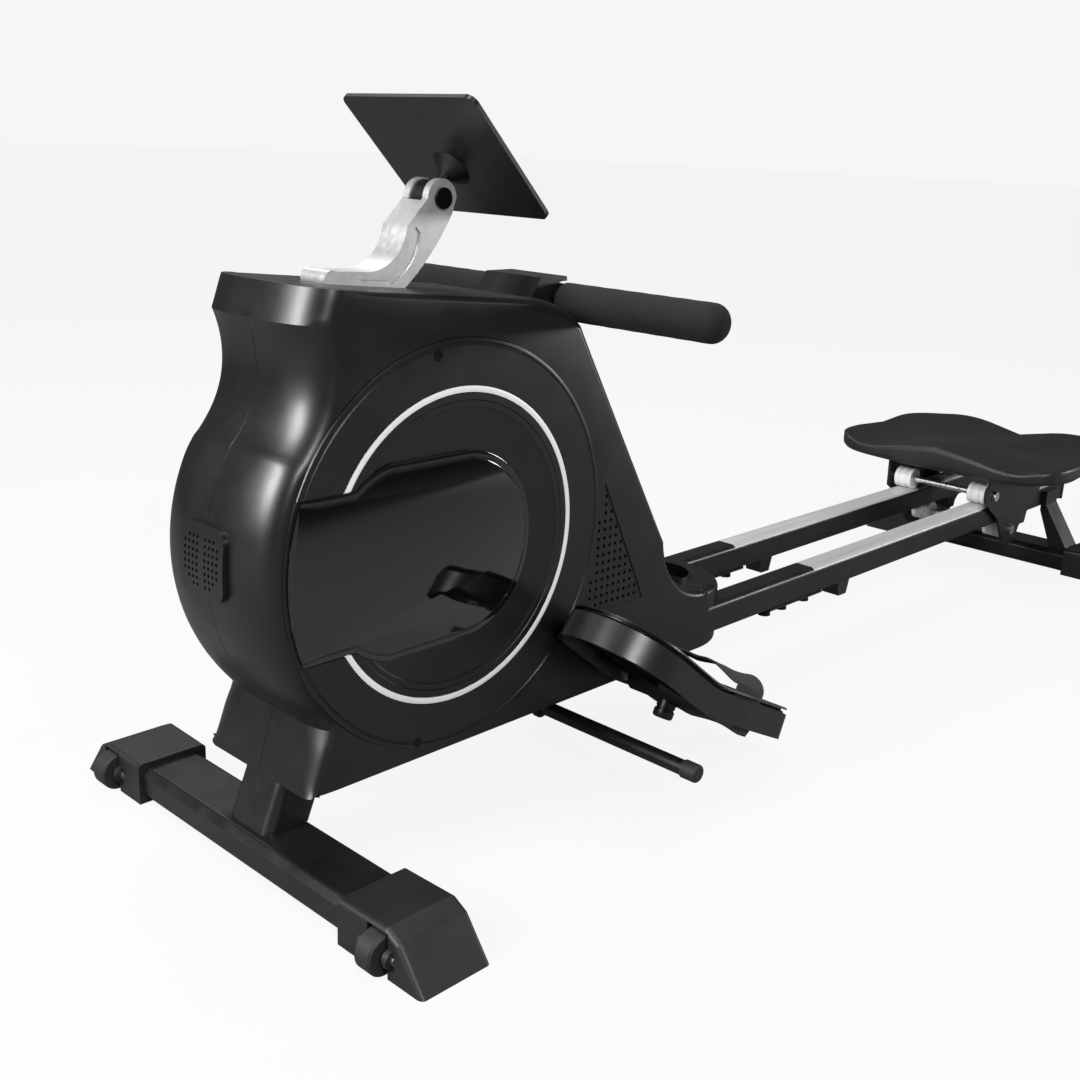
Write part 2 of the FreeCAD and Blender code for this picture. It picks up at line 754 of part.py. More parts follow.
def make_tablet_arm():
    hx = size("hinge_x")
    hz = size("hinge_z")
    half = size("arm_half")
    radius = size("hinge_radius")
    outline = make_outline(
        (62, top_line(62)),
        [
            ((64, top_line(64) + 9), (74, top_line(74) + 11)),
            ((104, top_line(104) + 12),),
            ((138, 545), (152, 572)),
            ((hx - 17, hz),),
            ((hx, hz + 17), (hx + 17, hz)),
            ((hx + 12, hz - 14),),
            ((184, 552), (150, top_line(150))),
        ],
    )
    arm = slab(outline, -half, half)
    fork = block(hx - 19, hx + 19, -9, 9, hz - 19, hz + 19)
    fork = fork.common(rod_y(radius + 2, hx, hz, -9, 9))
    pin = rod_y(5, hx, hz, -half - 1, half + 1)
    groove = make_outline(
        (92, top_line(92) + 5),
        [
            ((130, top_line(130) + 6),),
            ((150, 548), (162, 572)),
            ((168, 566),),
            ((158, 540), (136, top_line(136) + 3)),
        ],
    )
    arm = arm.cut(fork).cut(pin)
    arm = arm.cut(slab(groove, -half, -half + 1.5)).cut(slab(groove, half - 1.5, half))
    add_shape(arm, "tablet_arm")
    bolt = rod_y(5, hx, hz, -half, half)
    heads = [rod_y(9.5, hx, hz, -half - 3, -half), rod_y(9.5, hx, hz, half, half + 3)]
    add_shape(fuse(bolt, *heads), "hinge_bolt")


def make_tray():
    """Hinge knuckle with its stem, and the tray it carries."""
    hinge = Vector(size("hinge_x"), 0, size("hinge_z"))
    slope = math.radians(size("tray_slope"))
    normal = Vector(math.sin(slope), 0, math.cos(slope))
    uphill = Vector(-math.cos(slope), 0, math.sin(slope))
    knuckle = rod_y(15.5, hinge.x, hinge.z, -8.8, 8.8)
    stem = Part.makeCylinder(6, 36, hinge, normal)
    flange = Part.makeCone(6, 20, 12, hinge + normal * 24, normal)
    stem = fuse(knuckle, stem, flange).cut(rod_y(5.05, hinge.x, hinge.z, -20, 20))
    add_shape(stem, "tray_stem")
    half = size("tray_half")
    length = size("tray_length")
    plate = Part.makeBox(2 * half, length, 4, Vector(-half, -length / 2, 0))
    plate = plate.makeFillet(9, [e for e in plate.Edges if runs_along(Vector(0, 0, 1))(e)])
    lip = Part.makeBox(2 * half - 30, 3, 12, Vector(-half + 15, -length / 2, 0))
    tray = fuse(plate, lip)
    turn = Rotation(Vector(0, 1, 0), uphill, normal, "ZYX")
    tray.Placement = Placement(hinge + normal * 36 + uphill * 13, turn)
    add_shape(tray, "tablet_tray")


# ---- flywheel, belt and spool ----------------------------------------------------------------


def make_flywheel():
    rim = "Sizes.flywheel_radius"
    half = "Sizes.flywheel_width / 2"
    pulley_in = "Sizes.belt_y - Sizes.belt_width / 2 - Sizes.flywheel_y"
    pulley_out = "Sizes.belt_y + Sizes.belt_width / 2 + 1 - Sizes.flywheel_y"
    profile = [
        ("Sizes.bearing_radius", f"-{half}"),
        ("30", f"-{half}"),
        ("34", "-5"),
        (f"{rim} - 26", "-5"),
        (f"{rim} - 22", f"-{half}"),
        (rim, f"-{half}"),
        (rim, half),
        (f"{rim} - 22", half),
        (f"{rim} - 26", "5"),
        ("34", "5"),
        ("30", half),
        ("24", half),
        ("20", pulley_in + " - 2"),
        ("Sizes.pinion_radius + 4", pulley_in),
        ("Sizes.pinion_radius", pulley_in),
        ("Sizes.pinion_radius", pulley_out),
        ("Sizes.bearing_radius", pulley_out),
    ]
    x = size("flywheel_x")
    z = size("flywheel_z")
    turned("flywheel", profile, (x, size("flywheel_y"), z))
    rings = [bearing(x, z, -29), bearing(x, z, 31)]
    add_shape(Part.makeCompound(rings), "flywheel_bearings")


def axle_rod(x, z):
    """A fixed axle between the two mechanism plates, with a nut at each end."""
    rod = rod_y(size("axle_radius"), x, z, -50, 50)
    nuts = [rod_y(9, x, z, -55, -50), rod_y(9, x, z, 50, 55)]
    return fuse(rod, *nuts)


def bearing(x, z, y):
    ring = rod_y(size("bearing_radius"), x, z, y, y + 8)
    return ring.cut(rod_y(size("bearing_bore"), x, z, y, y + 8))


def make_spool():
    x = size("spool_x")
    z = size("spool_z")
    coil = "Sizes.coil_radius"
    bore = "Sizes.bearing_bore"
    profile = [
        (bore, "-17"),
        (f"{coil} + 4", "-17"),
        (f"{coil} + 4", "-15"),
        (coil, "-15"),
        (coil, "15"),
        (f"{coil} + 4", "15"),
        (f"{coil} + 4", "17"),
        (bore, "17"),
    ]
    turned("strap_spool", profile, (x, 0, z))
    low = "Sizes.belt_y - Sizes.belt_width / 2 - 1"
    high = "Sizes.belt_y + Sizes.belt_width / 2 + 1"
    rim = "Sizes.pulley_radius"
    profile = [
        (bore, "20"),
        ("20", "20"),
        ("20", f"{low} - 2"),
        (f"{rim} + 4", f"{low} - 2"),
        (f"{rim} + 4", low),
        (rim, low),
        (rim, high),
        (f"{rim} + 4", high),
        (f"{rim} + 4", f"{high} + 2"),
        (bore, f"{high} + 2"),
    ]
    turned("drive_pulley", profile, (x, 0, z))
    flywheel = (size("flywheel_x"), size("flywheel_z"))
    add_shape(Part.makeCompound([axle_rod(*flywheel), axle_rod(x, z)]), "drive_axles")
    spring = rod_y(34, x, z, -30, -21).cut(rod_y(size("axle_radius"), x, z, -31, -20))
    add_shape(spring, "recoil_spring")


def belt_face(gap):
    """Side outline of a band round the drive pulley and the flywheel pulley."""
    big = Vector(size("spool_x"), 0, size("spool_z"))
    small = Vector(size("flywheel_x"), 0, size("flywheel_z"))
    big_r = size("pulley_radius") + gap
    small_r = size("pinion_radius") + gap
    way = big - small
    distance = way.Length
    along = way.normalize()
    across = Vector(-along.z, 0, along.x)
    sine = (small_r - big_r) / distance
    cosine = math.sqrt(1 - sine * sine)
    points = []
    for side in (1, -1):
        out = along * sine + across * (side * cosine)
        points.append((small + out * small_r, big + out * big_r))
    (a_small, a_big), (b_small, b_big) = points
    edges = [
        Part.LineSegment(a_small, a_big).toShape(),
        Part.Arc(a_big, big + along * big_r, b_big).toShape(),
        Part.LineSegment(b_big, b_small).toShape(),
        Part.Arc(b_small, small - along * small_r, a_small).toShape(),
    ]
    return Part.Face(Part.Wire(edges))


def make_belt():
    y = size("belt_y")
    half = size("belt_width") / 2
    outer = slab(belt_face(size("belt_thick") + 0.1), y - half, y + half)
    inner = slab(belt_face(0.1), y - half - 1, y + half + 1)
    add_shape(outer.cut(inner), "drive_belt")


def make_tension():
    """The tension knob on the rear slope, and the magnet bracket it swings."""
    point, normal = knob_axis()
    radius = size("knob_radius")
    knob = knob_rod(radius, 2.5, 17)
    crown = Part.makeCone(radius, radius - 3, 3, point + normal * 17, normal)
    knob = fuse(knob, crown)
    for i in range(8):
        way = Rotation(normal, 45 * i + 10).multVec(Vector(0, radius + 4, 0))
        knob = knob.cut(Part.makeCylinder(7, 30, point + way, normal))
    add_shape(fuse(knob, knob_rod(5, -14, 6)), "tension_knob")
    pivot = magnet_pivot()
    arc = sector(size("flywheel_x"), size("flywheel_z"), 144, 156, -60, -15, -33, -5)
    boss = rod_y(8, pivot.x, pivot.z, -33, -5)
    pin_bore = rod_y(4.05, pivot.x, pivot.z, -40, 0)
    add_shape(fuse(arc, boss).cut(pin_bore), "magnet_bracket")


def magnet_pivot():
    """The stud that the magnet bracket swings on, below and behind the flywheel."""
    angle = math.radians(-60)
    arm = Vector(math.cos(angle), 0, math.sin(angle)) * 150
    return Vector(size("flywheel_x"), 0, size("flywheel_z")) + arm


def sector(x, z, inner, outer, start, end, y_from, y_to):
    """A curved bar about an axis parallel to Y, between two angles from +X towards +Z."""

    def at(radius, degrees):
        angle = math.radians(degrees)
        return x + radius * math.cos(angle), z + radius * math.sin(angle)

    middle = (start + end) / 2
    steps = [(at(outer, middle), at(outer, end)), (at(inner, end),), (at(inner, middle), at(inner, start))]
    return slab(make_outline(at(outer, start), steps), y_from, y_to)


# ---- pedals ----------------------------------------------------------------------------------


def pedal_profile(drop, margin):
    """Side outline of a pedal: steep toe part and flatter heel part."""
    toe = Vector(284, 0, 220)
    bend = Vector(397, 0, 132)
    heel = Vector(538, 0, 62)
    steep = (bend - toe).normalize()
    flat = (heel - bend).normalize()
    down = [Vector(v.z, 0, -v.x) for v in (steep, (steep + flat).normalize(), flat)]
    depth = size("pedal_depth")
    ends = [toe + steep * margin, bend, heel - flat * margin]
    top = [p + way * drop for p, way in zip(ends, down)]
    low = [p + way * depth for p, way in zip(ends, down)]
    points = top + low[::-1]
    return polygon_face([(p.x, p.z) for p in points])


def pedal_plan(margin):
    """A prism square to the toe part that rounds the toe and the heel in plan."""
    inner = size("pedal_inner") + margin
    outer = size("pedal_outer") - margin
    middle = (inner + outer) / 2
    radius = (outer - inner) / 2
    length = 330
    box = Part.makeBox(length - radius, 2 * radius, 400, Vector(radius, -outer, -200))
    toe = Part.makeCylinder(radius, 400, Vector(radius, -middle, -200))
    prism = fuse(box, toe)
    prism.Placement = Placement(Vector(284 + margin, 0, 220 - margin), Rotation(Vector(0, 1, 0), 38))
    return prism


def make_pedals():
    inner = -size("pedal_inner")
    outer = -size("pedal_outer")
    x = size("pedal_x")
    z = size("pedal_z")
    body = slab(pedal_profile(0, 0), outer, inner).common(pedal_plan(0))
    hollow = slab(pedal_profile(7, 6), outer + 6, inner - 6).common(pedal_plan(6))
    hollow.translate(Vector(-3, 0, -3))
    pedal = body.cut(hollow)
    ribs = [slab(pedal_profile(3, 3), y - 2, y + 2) for y in (-130, -159, -188)]
    boss = rod_y(14, x, z, outer, inner)
    bumper = Part.makeCylinder(11, 24, Vector(399, -156, 97), Vector(-0.45, 0, -0.89))
    pedal = fuse(pedal, *[rib.common(body) for rib in ribs], boss, bumper)
    pedal = pedal.cut(rod_y(size("pedal_bore"), x, z, outer - 1, inner + 1))
    add_left_right(pedal, "pedal")
    add_left_right(pedal_strap(), "pedal_strap")
    axle = doc.addObject("Part::Cylinder", "pedal_axle_rod")
    axle.setExpression("Radius", "Sizes.pedal_axle")
    axle.setExpression("Height", "2 * Sizes.pedal_outer + 8")
    axle.Placement = Placement(Vector(x, outer - 4, z), Rotation(Vector(1, 0, 0), -90))
    discs = []
    for side in (-1, 1):
        disc = doc.addObject("Part::Cylinder", "pedal_axle_head")
        disc.Radius = 11
        disc.Height = 3
        y = side * (size("pedal_outer") + 2.5) - 1.5
        disc.Placement = Placement(Vector(x, y, z), Rotation(Vector(1, 0, 0), -90))
        discs.append(disc)
    union = doc.addObject("Part::MultiFuse", "pedal_axle")
    union.Shapes = [axle] + discs
    add_node(union, "pedal_axle")


def pedal_strap():
    """A band round the heel part of the pedal with a loop over the foot."""
    slope = math.degrees(math.atan2(132 - 62, 538 - 397))
    inner = size("pedal_inner")
    outer = size("pedal_outer")
    depth = size("pedal_depth") + 0.8

    def band(grow, length):
        near = -inner + grow
        far = -outer - grow
        low = -depth - grow
        corners = [Vector(0, near, 6), Vector(0, near, low), Vector(0, far, low), Vector(0, far, 6)]
        crown = Vector(0, (near + far) / 2, 24 + grow)
        edges = [Part.LineSegment(a, b).toShape() for a, b in zip(corners, corners[1:])]
        edges.append(Part.Arc(corners[3], crown, corners[0]).toShape())
        return Part.Face(Part.Wire(edges)).extrude(Vector(length, 0, 0))

    strap = band(2.5, 56).cut(band(0, 56))
    strap.Placement = Placement(Vector(425, 0, 118.1), Rotation(Vector(0, 1, 0), slope))
    return strap


def make_rest_rod():
    x = size("rest_x")
    z = size("rest_z")
    radius = size("rest_radius")
    half = size("rest_half")
    foot = [((404, 100),), ((x + 11, z - 6),), ((x, z - 13), (x - 11, z - 6)), ((x - 11, z + 6),)]
    plate = slab(make_outline((384, 100), foot), -25, -20)
    tie = block(384, 404, -25, 25, 95, 100)
    bracket = fuse(plate, mirrored(plate), tie).cut(rod_y(radius, x, z, -30, 30))
    bracket = bracket.cut(rod_y(size("pedal_axle") + 0.5, size("pedal_x"), size("pedal_z"), -30, 30))
    add_shape(bracket, "rest_bracket")
    rod = doc.addObject("Part::Cylinder", "rest_rod")
    rod.setExpression("Radius", "Sizes.rest_radius")
    rod.setExpression("Height", "2 * Sizes.rest_half")
    add_node(rod, "rest_rod", (x, -half, z), Rotation(Vector(1, 0, 0), -90))
    cap = rod_y(radius + 1.5, x, z, -half - 4, -half + 14)
    cap = cap.makeFillet(3, [e for e in cap.Edges if e.BoundBox.YMax < -half - 3.9])
    add_shape(both_sides(cap.cut(rod_y(radius, x, z, -half, 0))), "rest_rod_caps")


# ---- seat and trolley ------------------------------------------------------------------------


def make_seat():
    x = size("seat_x")
    length = size("seat_length")
    width = size("seat_width")
    low = size("seat_low")
    high = size("seat_high")
    pad = block(x - length / 2, x + length / 2, -width / 2, width / 2, low, high)
    pad = pad.makeFillet(70, [e for e in pad.Edges if runs_along(Vector(0, 0, 1))(e)])
    pad = pad.makeFillet(8, [e for e in pad.Edges if e.BoundBox.ZMin > high - 1])
    add_shape(pad, "seat_pad")


def make_trolley():
    low = size("seat_low") - 4.3
    strip = size("rail_high")
    radius = size("roller_radius")
    upper_z = strip + radius + 0.05
    lower_z = size("rail_low") - radius - 0.05
    axles = [("front_roller_x", upper_z), ("rear_roller_x", upper_z), ("low_roller_x", lower_z)]
    outline = make_outline(
        (1258, low),
        [
            ((1446, low),),
            ((1446, upper_z - 14),),
            ((1400, 112),),
            ((1374, 70),),
            ((1352, 62), (1330, 70)),
            ((1304, 112),),
            ((1260, upper_z - 14),),
        ],
    )
    plate = slab(outline, -size("trolley_outer"), -size("trolley_inner"))
    rods = []
    rod_radius = size("trolley_axle")
    for alias, z in axles:
        x = size(alias)
        plate = plate.cut(rod_y(rod_radius, x, z, -100, -70))
        reach = size("trolley_outer")
        rod = rod_y(rod_radius, x, z, -reach, reach)
        heads = [rod_y(7.5, x, z, -reach - 4, -reach), rod_y(7.5, x, z, reach, reach + 4)]
        rods.append(fuse(rod, *heads))
    top = block(1258, 1446, -size("trolley_outer"), size("trolley_outer"), low, low + 4)
    add_shape(fuse(plate, mirrored(plate), top), "seat_carriage")
    add_shape(Part.makeCompound(rods), "trolley_axles")
    labels = ("front_upper_rollers", "rear_upper_rollers", "lower_rollers")
    for label, (alias, z) in zip(labels, axles):
        add_shape(both_sides(roller(size(alias), z)), label)


def roller(x, z):
    """A nylon roller with two shallow grooves, drawn for the left rail."""
    y = -size("rail_y")
    half = size("roller_width") / 2
    radius = size("roller_radius")
    body = rod_y(radius, x, z, y - half, y + half)
    for offset in (-7, 5):
        ring = rod_y(radius + 1, x, z, y + offset, y + offset + 2)
        body = body.cut(ring.cut(rod_y(radius - 1.2, x, z, y + offset, y + offset + 2)))
    return body.cut(rod_y(size("roller_bore"), x, z, y - half - 1, y + half + 1))


# ---- build, check and write ------------------------------------------------------------------

make_front_end()
make_rear_end()
make_main_frame()
make_mechanism_plates()
make_rails()
make_rail_fittings()
make_housing()
make_side_covers()
make_vents()
make_cup_holder()
make_handle_dock()
make_handle()
make_strap()
make_tablet_arm()
make_tray()
make_flywheel()
make_spool()
make_belt()
make_tension()
make_pedals()
make_rest_rod()
make_seat()
make_trolley()

doc.recompute()

failed = [o.Name for o in doc.Objects if {"Invalid", "Error"} & set(o.State)]
if failed:
    raise RuntimeError(f"these objects failed: {failed}")
for node in nodes:
    if node.Shape.isNull() or not node.Shape.isValid():
        raise RuntimeError(f"{node.Label} has no valid shape")
if len(nodes) > 60:
    raise RuntimeError(f"{len(nodes)} nodes are more than 60")

os.makedirs("parts", exist_ok=True)
for node in nodes:
    node.Shape.exportStep(f"parts/{node.Label}.step")
print(len(nodes), "sub-parts written")
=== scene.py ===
import json
import math

import bmesh
import bpy
from mathutils import Matrix, Vector
from mathutils.geometry import tessellate_polygon


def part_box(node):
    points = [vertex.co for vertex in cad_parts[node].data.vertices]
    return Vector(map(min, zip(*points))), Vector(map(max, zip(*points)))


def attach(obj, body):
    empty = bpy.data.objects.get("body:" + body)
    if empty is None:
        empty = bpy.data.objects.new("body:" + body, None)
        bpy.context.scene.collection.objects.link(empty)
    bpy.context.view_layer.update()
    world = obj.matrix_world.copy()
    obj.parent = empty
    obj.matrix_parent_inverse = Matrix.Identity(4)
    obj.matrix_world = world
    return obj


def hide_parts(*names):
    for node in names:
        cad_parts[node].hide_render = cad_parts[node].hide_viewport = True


# Magnetic rowing machine.  The CAD frame carries every piece; this script replaces the moulded
# shells and the soft pieces with finished meshes, and gives each piece its material.

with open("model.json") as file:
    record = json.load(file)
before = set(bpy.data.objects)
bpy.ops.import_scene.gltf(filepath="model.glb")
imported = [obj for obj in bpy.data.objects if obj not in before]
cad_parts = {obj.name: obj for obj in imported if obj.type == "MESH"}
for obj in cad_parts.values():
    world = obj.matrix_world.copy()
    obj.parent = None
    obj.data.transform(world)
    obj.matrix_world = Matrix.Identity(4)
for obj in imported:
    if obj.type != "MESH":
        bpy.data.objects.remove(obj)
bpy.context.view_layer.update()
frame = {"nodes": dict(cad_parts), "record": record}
nodes = frame["nodes"]

MM = 0.001
tube_low, tube_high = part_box("front_stabilizer_tube")
FRONT_X = (tube_low.x + tube_high.x) / 2  # the front stabilizer's axis, where x is counted from


def at(x, y, z):
    """A point given in millimetres from the front stabilizer's axis, in the row frame."""
    return Vector((FRONT_X + x * MM, y * MM, z * MM))


# ---- materials -------------------------------------------------------------------------------


class Surface:
    """A procedural material: a Principled shader fed by noise, cell and bump nodes.

    Texture scales are per metre of object space, and bump depths are in millimetres."""

    def __init__(self, name, roughness, metallic=0.0, **sockets):
        self.material = bpy.data.materials.new(name)
        self.material.use_nodes = True
        self.tree = self.material.node_tree
        self.shader = self.tree.nodes["Principled BSDF"]
        self.shader.inputs["Metallic"].default_value = metallic
        self.shader.inputs["Roughness"].default_value = roughness
        for socket, value in sockets.items():
            self.shader.inputs[socket.replace("_", " ")].default_value = value
        self.coords = self.tree.nodes.new("ShaderNodeTexCoord")
        self.last_bump = None

    def place(self, stretch=(1, 1, 1), source="Object"):
        mapping = self.tree.nodes.new("ShaderNodeMapping")
        mapping.inputs["Scale"].default_value = stretch
        self.tree.links.new(self.coords.outputs[source], mapping.inputs["Vector"])
        return mapping.outputs["Vector"]

    def noise(self, scale, detail=3.0, stretch=(1, 1, 1)):
        node = self.tree.nodes.new("ShaderNodeTexNoise")
        node.inputs["Scale"].default_value = scale
        node.inputs["Detail"].default_value = detail
        self.tree.links.new(self.place(stretch), node.inputs["Vector"])
        return node.outputs["Fac"]

    def cells(self, scale, feature="F1"):
        node = self.tree.nodes.new("ShaderNodeTexVoronoi")
        node.feature = feature
        node.inputs["Scale"].default_value = scale
        self.tree.links.new(self.place(), node.inputs["Vector"])
        return node.outputs["Distance"]

    def ramp(self, value, low, high, low_to, high_to):
        node = self.tree.nodes.new("ShaderNodeMapRange")
        for socket, number in zip(
            ("From Min", "From Max", "To Min", "To Max"), (low, high, low_to, high_to)
        ):
            node.inputs[socket].default_value = number
        self.tree.links.new(value, node.inputs["Value"])
        return node.outputs["Result"]

    def colour(self, value, dark, light, low=0.3, high=0.7):
        node = self.tree.nodes.new("ShaderNodeValToRGB")
        node.color_ramp.elements[0].position = low
        node.color_ramp.elements[1].position = high
        node.color_ramp.elements[0].color = (*dark, 1)
        node.color_ramp.elements[1].color = (*light, 1)
        self.tree.links.new(value, node.inputs["Fac"])
        self.tree.links.new(node.outputs["Color"], self.shader.inputs["Base Color"])

    def rough(self, value, low, high):
        """Roughness that follows value over the middle of a noise's range."""
        result = self.ramp(value, 0.3, 0.7, low, high)
        self.tree.links.new(result, self.shader.inputs["Roughness"])

    def bump(self, value, strength, depth_mm):
        """Adds a bump node on top of the ones before it."""
        node = self.tree.nodes.new("ShaderNodeBump")
        node.inputs["Strength"].default_value = strength
        node.inputs["Distance"].default_value = depth_mm * MM
        self.tree.links.new(value, node.inputs["Height"])
        if self.last_bump:
            self.tree.links.new(self.last_bump.outputs["Normal"], node.inputs["Normal"])
        self.tree.links.new(node.outputs["Normal"], self.shader.inputs["Normal"])
        self.last_bump = node


def grey(value):
    return (value, value, value)


def moulded(name, dark, light, roughness, grain, strength):
    """Moulded plastic with a fine spark-eroded grain and slight polish variation."""
    surface = Surface(name, roughness)
    cloud = surface.noise(9)
    surface.colour(cloud, grey(dark), grey(light))
    surface.rough(surface.noise(26), roughness - 0.05, roughness + 0.05)
    surface.bump(surface.noise(grain, 2), strength, 0.12)
    return surface


def metal(name, dark, light, roughness, stretch, bump, metallic=1.0):
    """Bare or plated metal with a directional finish."""
    surface = Surface(name, roughness, metallic)
    surface.colour(surface.noise(60, 4, stretch), grey(dark), grey(light))
    surface.rough(surface.noise(140, 5, stretch), roughness - 0.07, roughness + 0.07)
    surface.bump(surface.noise(900, 2, stretch), bump, 0.05)
    return surface


def coated_steel():
    """Powder-coated steel: a slight orange-peel surface."""
    surface = Surface("powder_coat", 0.36)
    surface.colour(surface.noise(14), grey(0.0050), grey(0.0080))
    surface.rough(surface.noise(40), 0.30, 0.42)
    surface.bump(surface.noise(700, 2), 0.10, 0.15)
    return surface


def piano_black():
    """High-gloss plastic under a clear coat."""
    surface = Surface("piano_black", 0.05, Coat_Weight=1.0, Coat_Roughness=0.03)
    surface.colour(surface.noise(7), grey(0.0022), grey(0.0034))
    surface.rough(surface.noise(18), 0.03, 0.08)
    surface.bump(surface.noise(12, 1), 0.04, 0.10)
    return surface


def grained_seat():
    """The seat's moulded skin, with a fine leather-like grain of cell edges."""
    surface = Surface("seat_skin", 0.46)
    surface.colour(surface.noise(10), grey(0.0085), grey(0.0130))
    surface.rough(surface.noise(34), 0.40, 0.52)
    surface.bump(surface.cells(720, "DISTANCE_TO_EDGE"), 0.22, 0.25)
    return surface


def closed_foam():
    """Closed-cell foam: matte, with pores at two sizes."""
    surface = Surface("foam", 0.86, Sheen_Weight=0.02, Specular_IOR_Level=0.25)
    surface.colour(surface.noise(24), grey(0.0055), grey(0.0095))
    surface.bump(surface.cells(950), 0.30, 0.25)
    surface.bump(surface.noise(210, 4), 0.20, 0.20)
    return surface


WARP_SCALE, WEFT_SCALE = 92, 210


def webbing():
    """Woven webbing: warp and weft ribs from two crossed wave textures over the strap's UVs."""
    surface = Surface("webbing", 0.74, Sheen_Weight=0.05)
    ribs = []
    for direction, scale in (("X", WARP_SCALE), ("Y", WEFT_SCALE)):
        wave = surface.tree.nodes.new("ShaderNodeTexWave")
        wave.bands_direction = direction
        wave.inputs["Scale"].default_value = scale
        wave.inputs["Distortion"].default_value = 0.4
        surface.tree.links.new(surface.place(source="UV"), wave.inputs["Vector"])
        ribs.append(wave.outputs["Fac"])
    cross = surface.tree.nodes.new("ShaderNodeMath")
    cross.operation = "MULTIPLY"
    for rib, socket in zip(ribs, cross.inputs):
        surface.tree.links.new(rib, socket)
    surface.colour(cross.outputs["Value"], grey(0.004), grey(0.060), 0.25, 0.85)
    surface.bump(cross.outputs["Value"], 0.9, 0.55)
    return surface


# One finish for each material slot of the record.
SURFACES = {
    "housing_plastic": moulded("housing_plastic", 0.0042, 0.0060, 0.36, 1300, 0.06),
    "gloss_black": piano_black(),
    "ring_white": moulded("ring_white", 0.78, 0.86, 0.34, 500, 0.04),
    "frame_steel": coated_steel(),
    "cast_iron": metal("cast_iron", 0.08, 0.16, 0.50, (1, 1, 1), 0.25),
    "zinc_steel": metal("zinc_steel", 0.66, 0.76, 0.30, (1, 1, 1), 0.015),
    "arm_silver": metal("arm_silver", 0.60, 0.68, 0.42, (1, 1, 1), 0.02, 0.75),
    "strip_silver": metal("strip_silver", 0.52, 0.62, 0.46, (0.05, 1, 1), 0.08, 0.35),
    "roller_white": moulded("roller_white", 0.70, 0.80, 0.42, 600, 0.05),
    "rubber_black": moulded("rubber_black", 0.0070, 0.0110, 0.66, 800, 0.16),
    "cap_plastic": moulded("cap_plastic", 0.0060, 0.0095, 0.50, 620, 0.16),
    "foam_black": closed_foam(),
    "seat_black": grained_seat(),
    "strap_black": webbing(),
    "screw_black": metal("screw_black", 0.02, 0.035, 0.36, (1, 1, 1), 0.08),
}
for entry in frame["record"]["subparts"]:
    mesh = nodes[entry["node"]].data
    mesh.materials.clear()
    mesh.materials.append(SURFACES[entry["material_slot"]].material)

# ---- mesh helpers ----------------------------------------------------------------------------


def make_piece(name, vertices, faces, slot, body, stands_for=(), sharp=32, uvs=None):
    """A finished mesh object that rides on a CAD body and stands for its CAD nodes."""
    mesh = bpy.data.meshes.new(name)
    mesh.from_pydata([tuple(v) for v in vertices], [], faces)
    if uvs:
        layer = mesh.uv_layers.new(name="UVMap")
        for loop in mesh.loops:
            layer.data[loop.index].uv = uvs[loop.vertex_index]
    return finish_piece(name, mesh, slot, body, stands_for, sharp)


def finish_piece(name, mesh, slot, body, stands_for=(), sharp=32):
    """Cleans a mesh, shades it smooth up to the sharp angle and puts it in the scene."""
    clean = bmesh.new()
    clean.from_mesh(mesh)
    bmesh.ops.remove_doubles(clean, verts=clean.verts, dist=2e-6)
    bmesh.ops.dissolve_degenerate(clean, edges=clean.edges, dist=1e-6)
    bmesh.ops.recalc_face_normals(clean, faces=clean.faces)
    clean.to_mesh(mesh)
    clean.free()
    mesh.polygons.foreach_set("use_smooth", [True] * len(mesh.polygons))
    mesh.set_sharp_from_angle(angle=math.radians(sharp))
    obj = bpy.data.objects.new(name, mesh)
    bpy.context.scene.collection.objects.link(obj)
    mesh.materials.append(SURFACES[slot].material)
    if stands_for:
        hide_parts(*stands_for)
    if body:
        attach(obj, body)
    return obj


def apply_modifier(obj, kind, **settings):
    """Adds one modifier and makes its result the object's mesh."""
    modifier = obj.modifiers.new(kind, kind)
    for key, value in settings.items():
        setattr(modifier, key, value)
    depsgraph = bpy.context.evaluated_depsgraph_get()
    result = bpy.data.meshes.new_from_object(obj.evaluated_get(depsgraph))
    obj.modifiers.clear()
    obj.data = result
    return obj


def grid_faces(rows, columns, wrap_rows=False, wrap_columns=False):
    """Quads over a grid of points that is stored row after row."""
    faces = []
    for i in range(rows if wrap_rows else rows - 1):
        for j in range(columns if wrap_columns else columns - 1):
            below, right = (i + 1) % rows, (j + 1) % columns
            a, b = i * columns + j, i * columns + right
            c, d = below * columns + right, below * columns + j
            faces.append((a, b, c, d))
    return faces


def revolve(profile, centre, segments):
    """Turns a closed (radius, y) profile in millimetres about the Y axis through (x, z)."""
    vertices = []
    for i in range(segments):
        angle = 2 * math.pi * i / segments
        for radius, y in profile:
            x = centre[0] + radius * math.cos(angle)
            z = centre[1] + radius * math.sin(angle)
            vertices.append(at(x, y, z))
    return vertices, grid_faces(segments, len(profile), wrap_rows=True, wrap_columns=True)


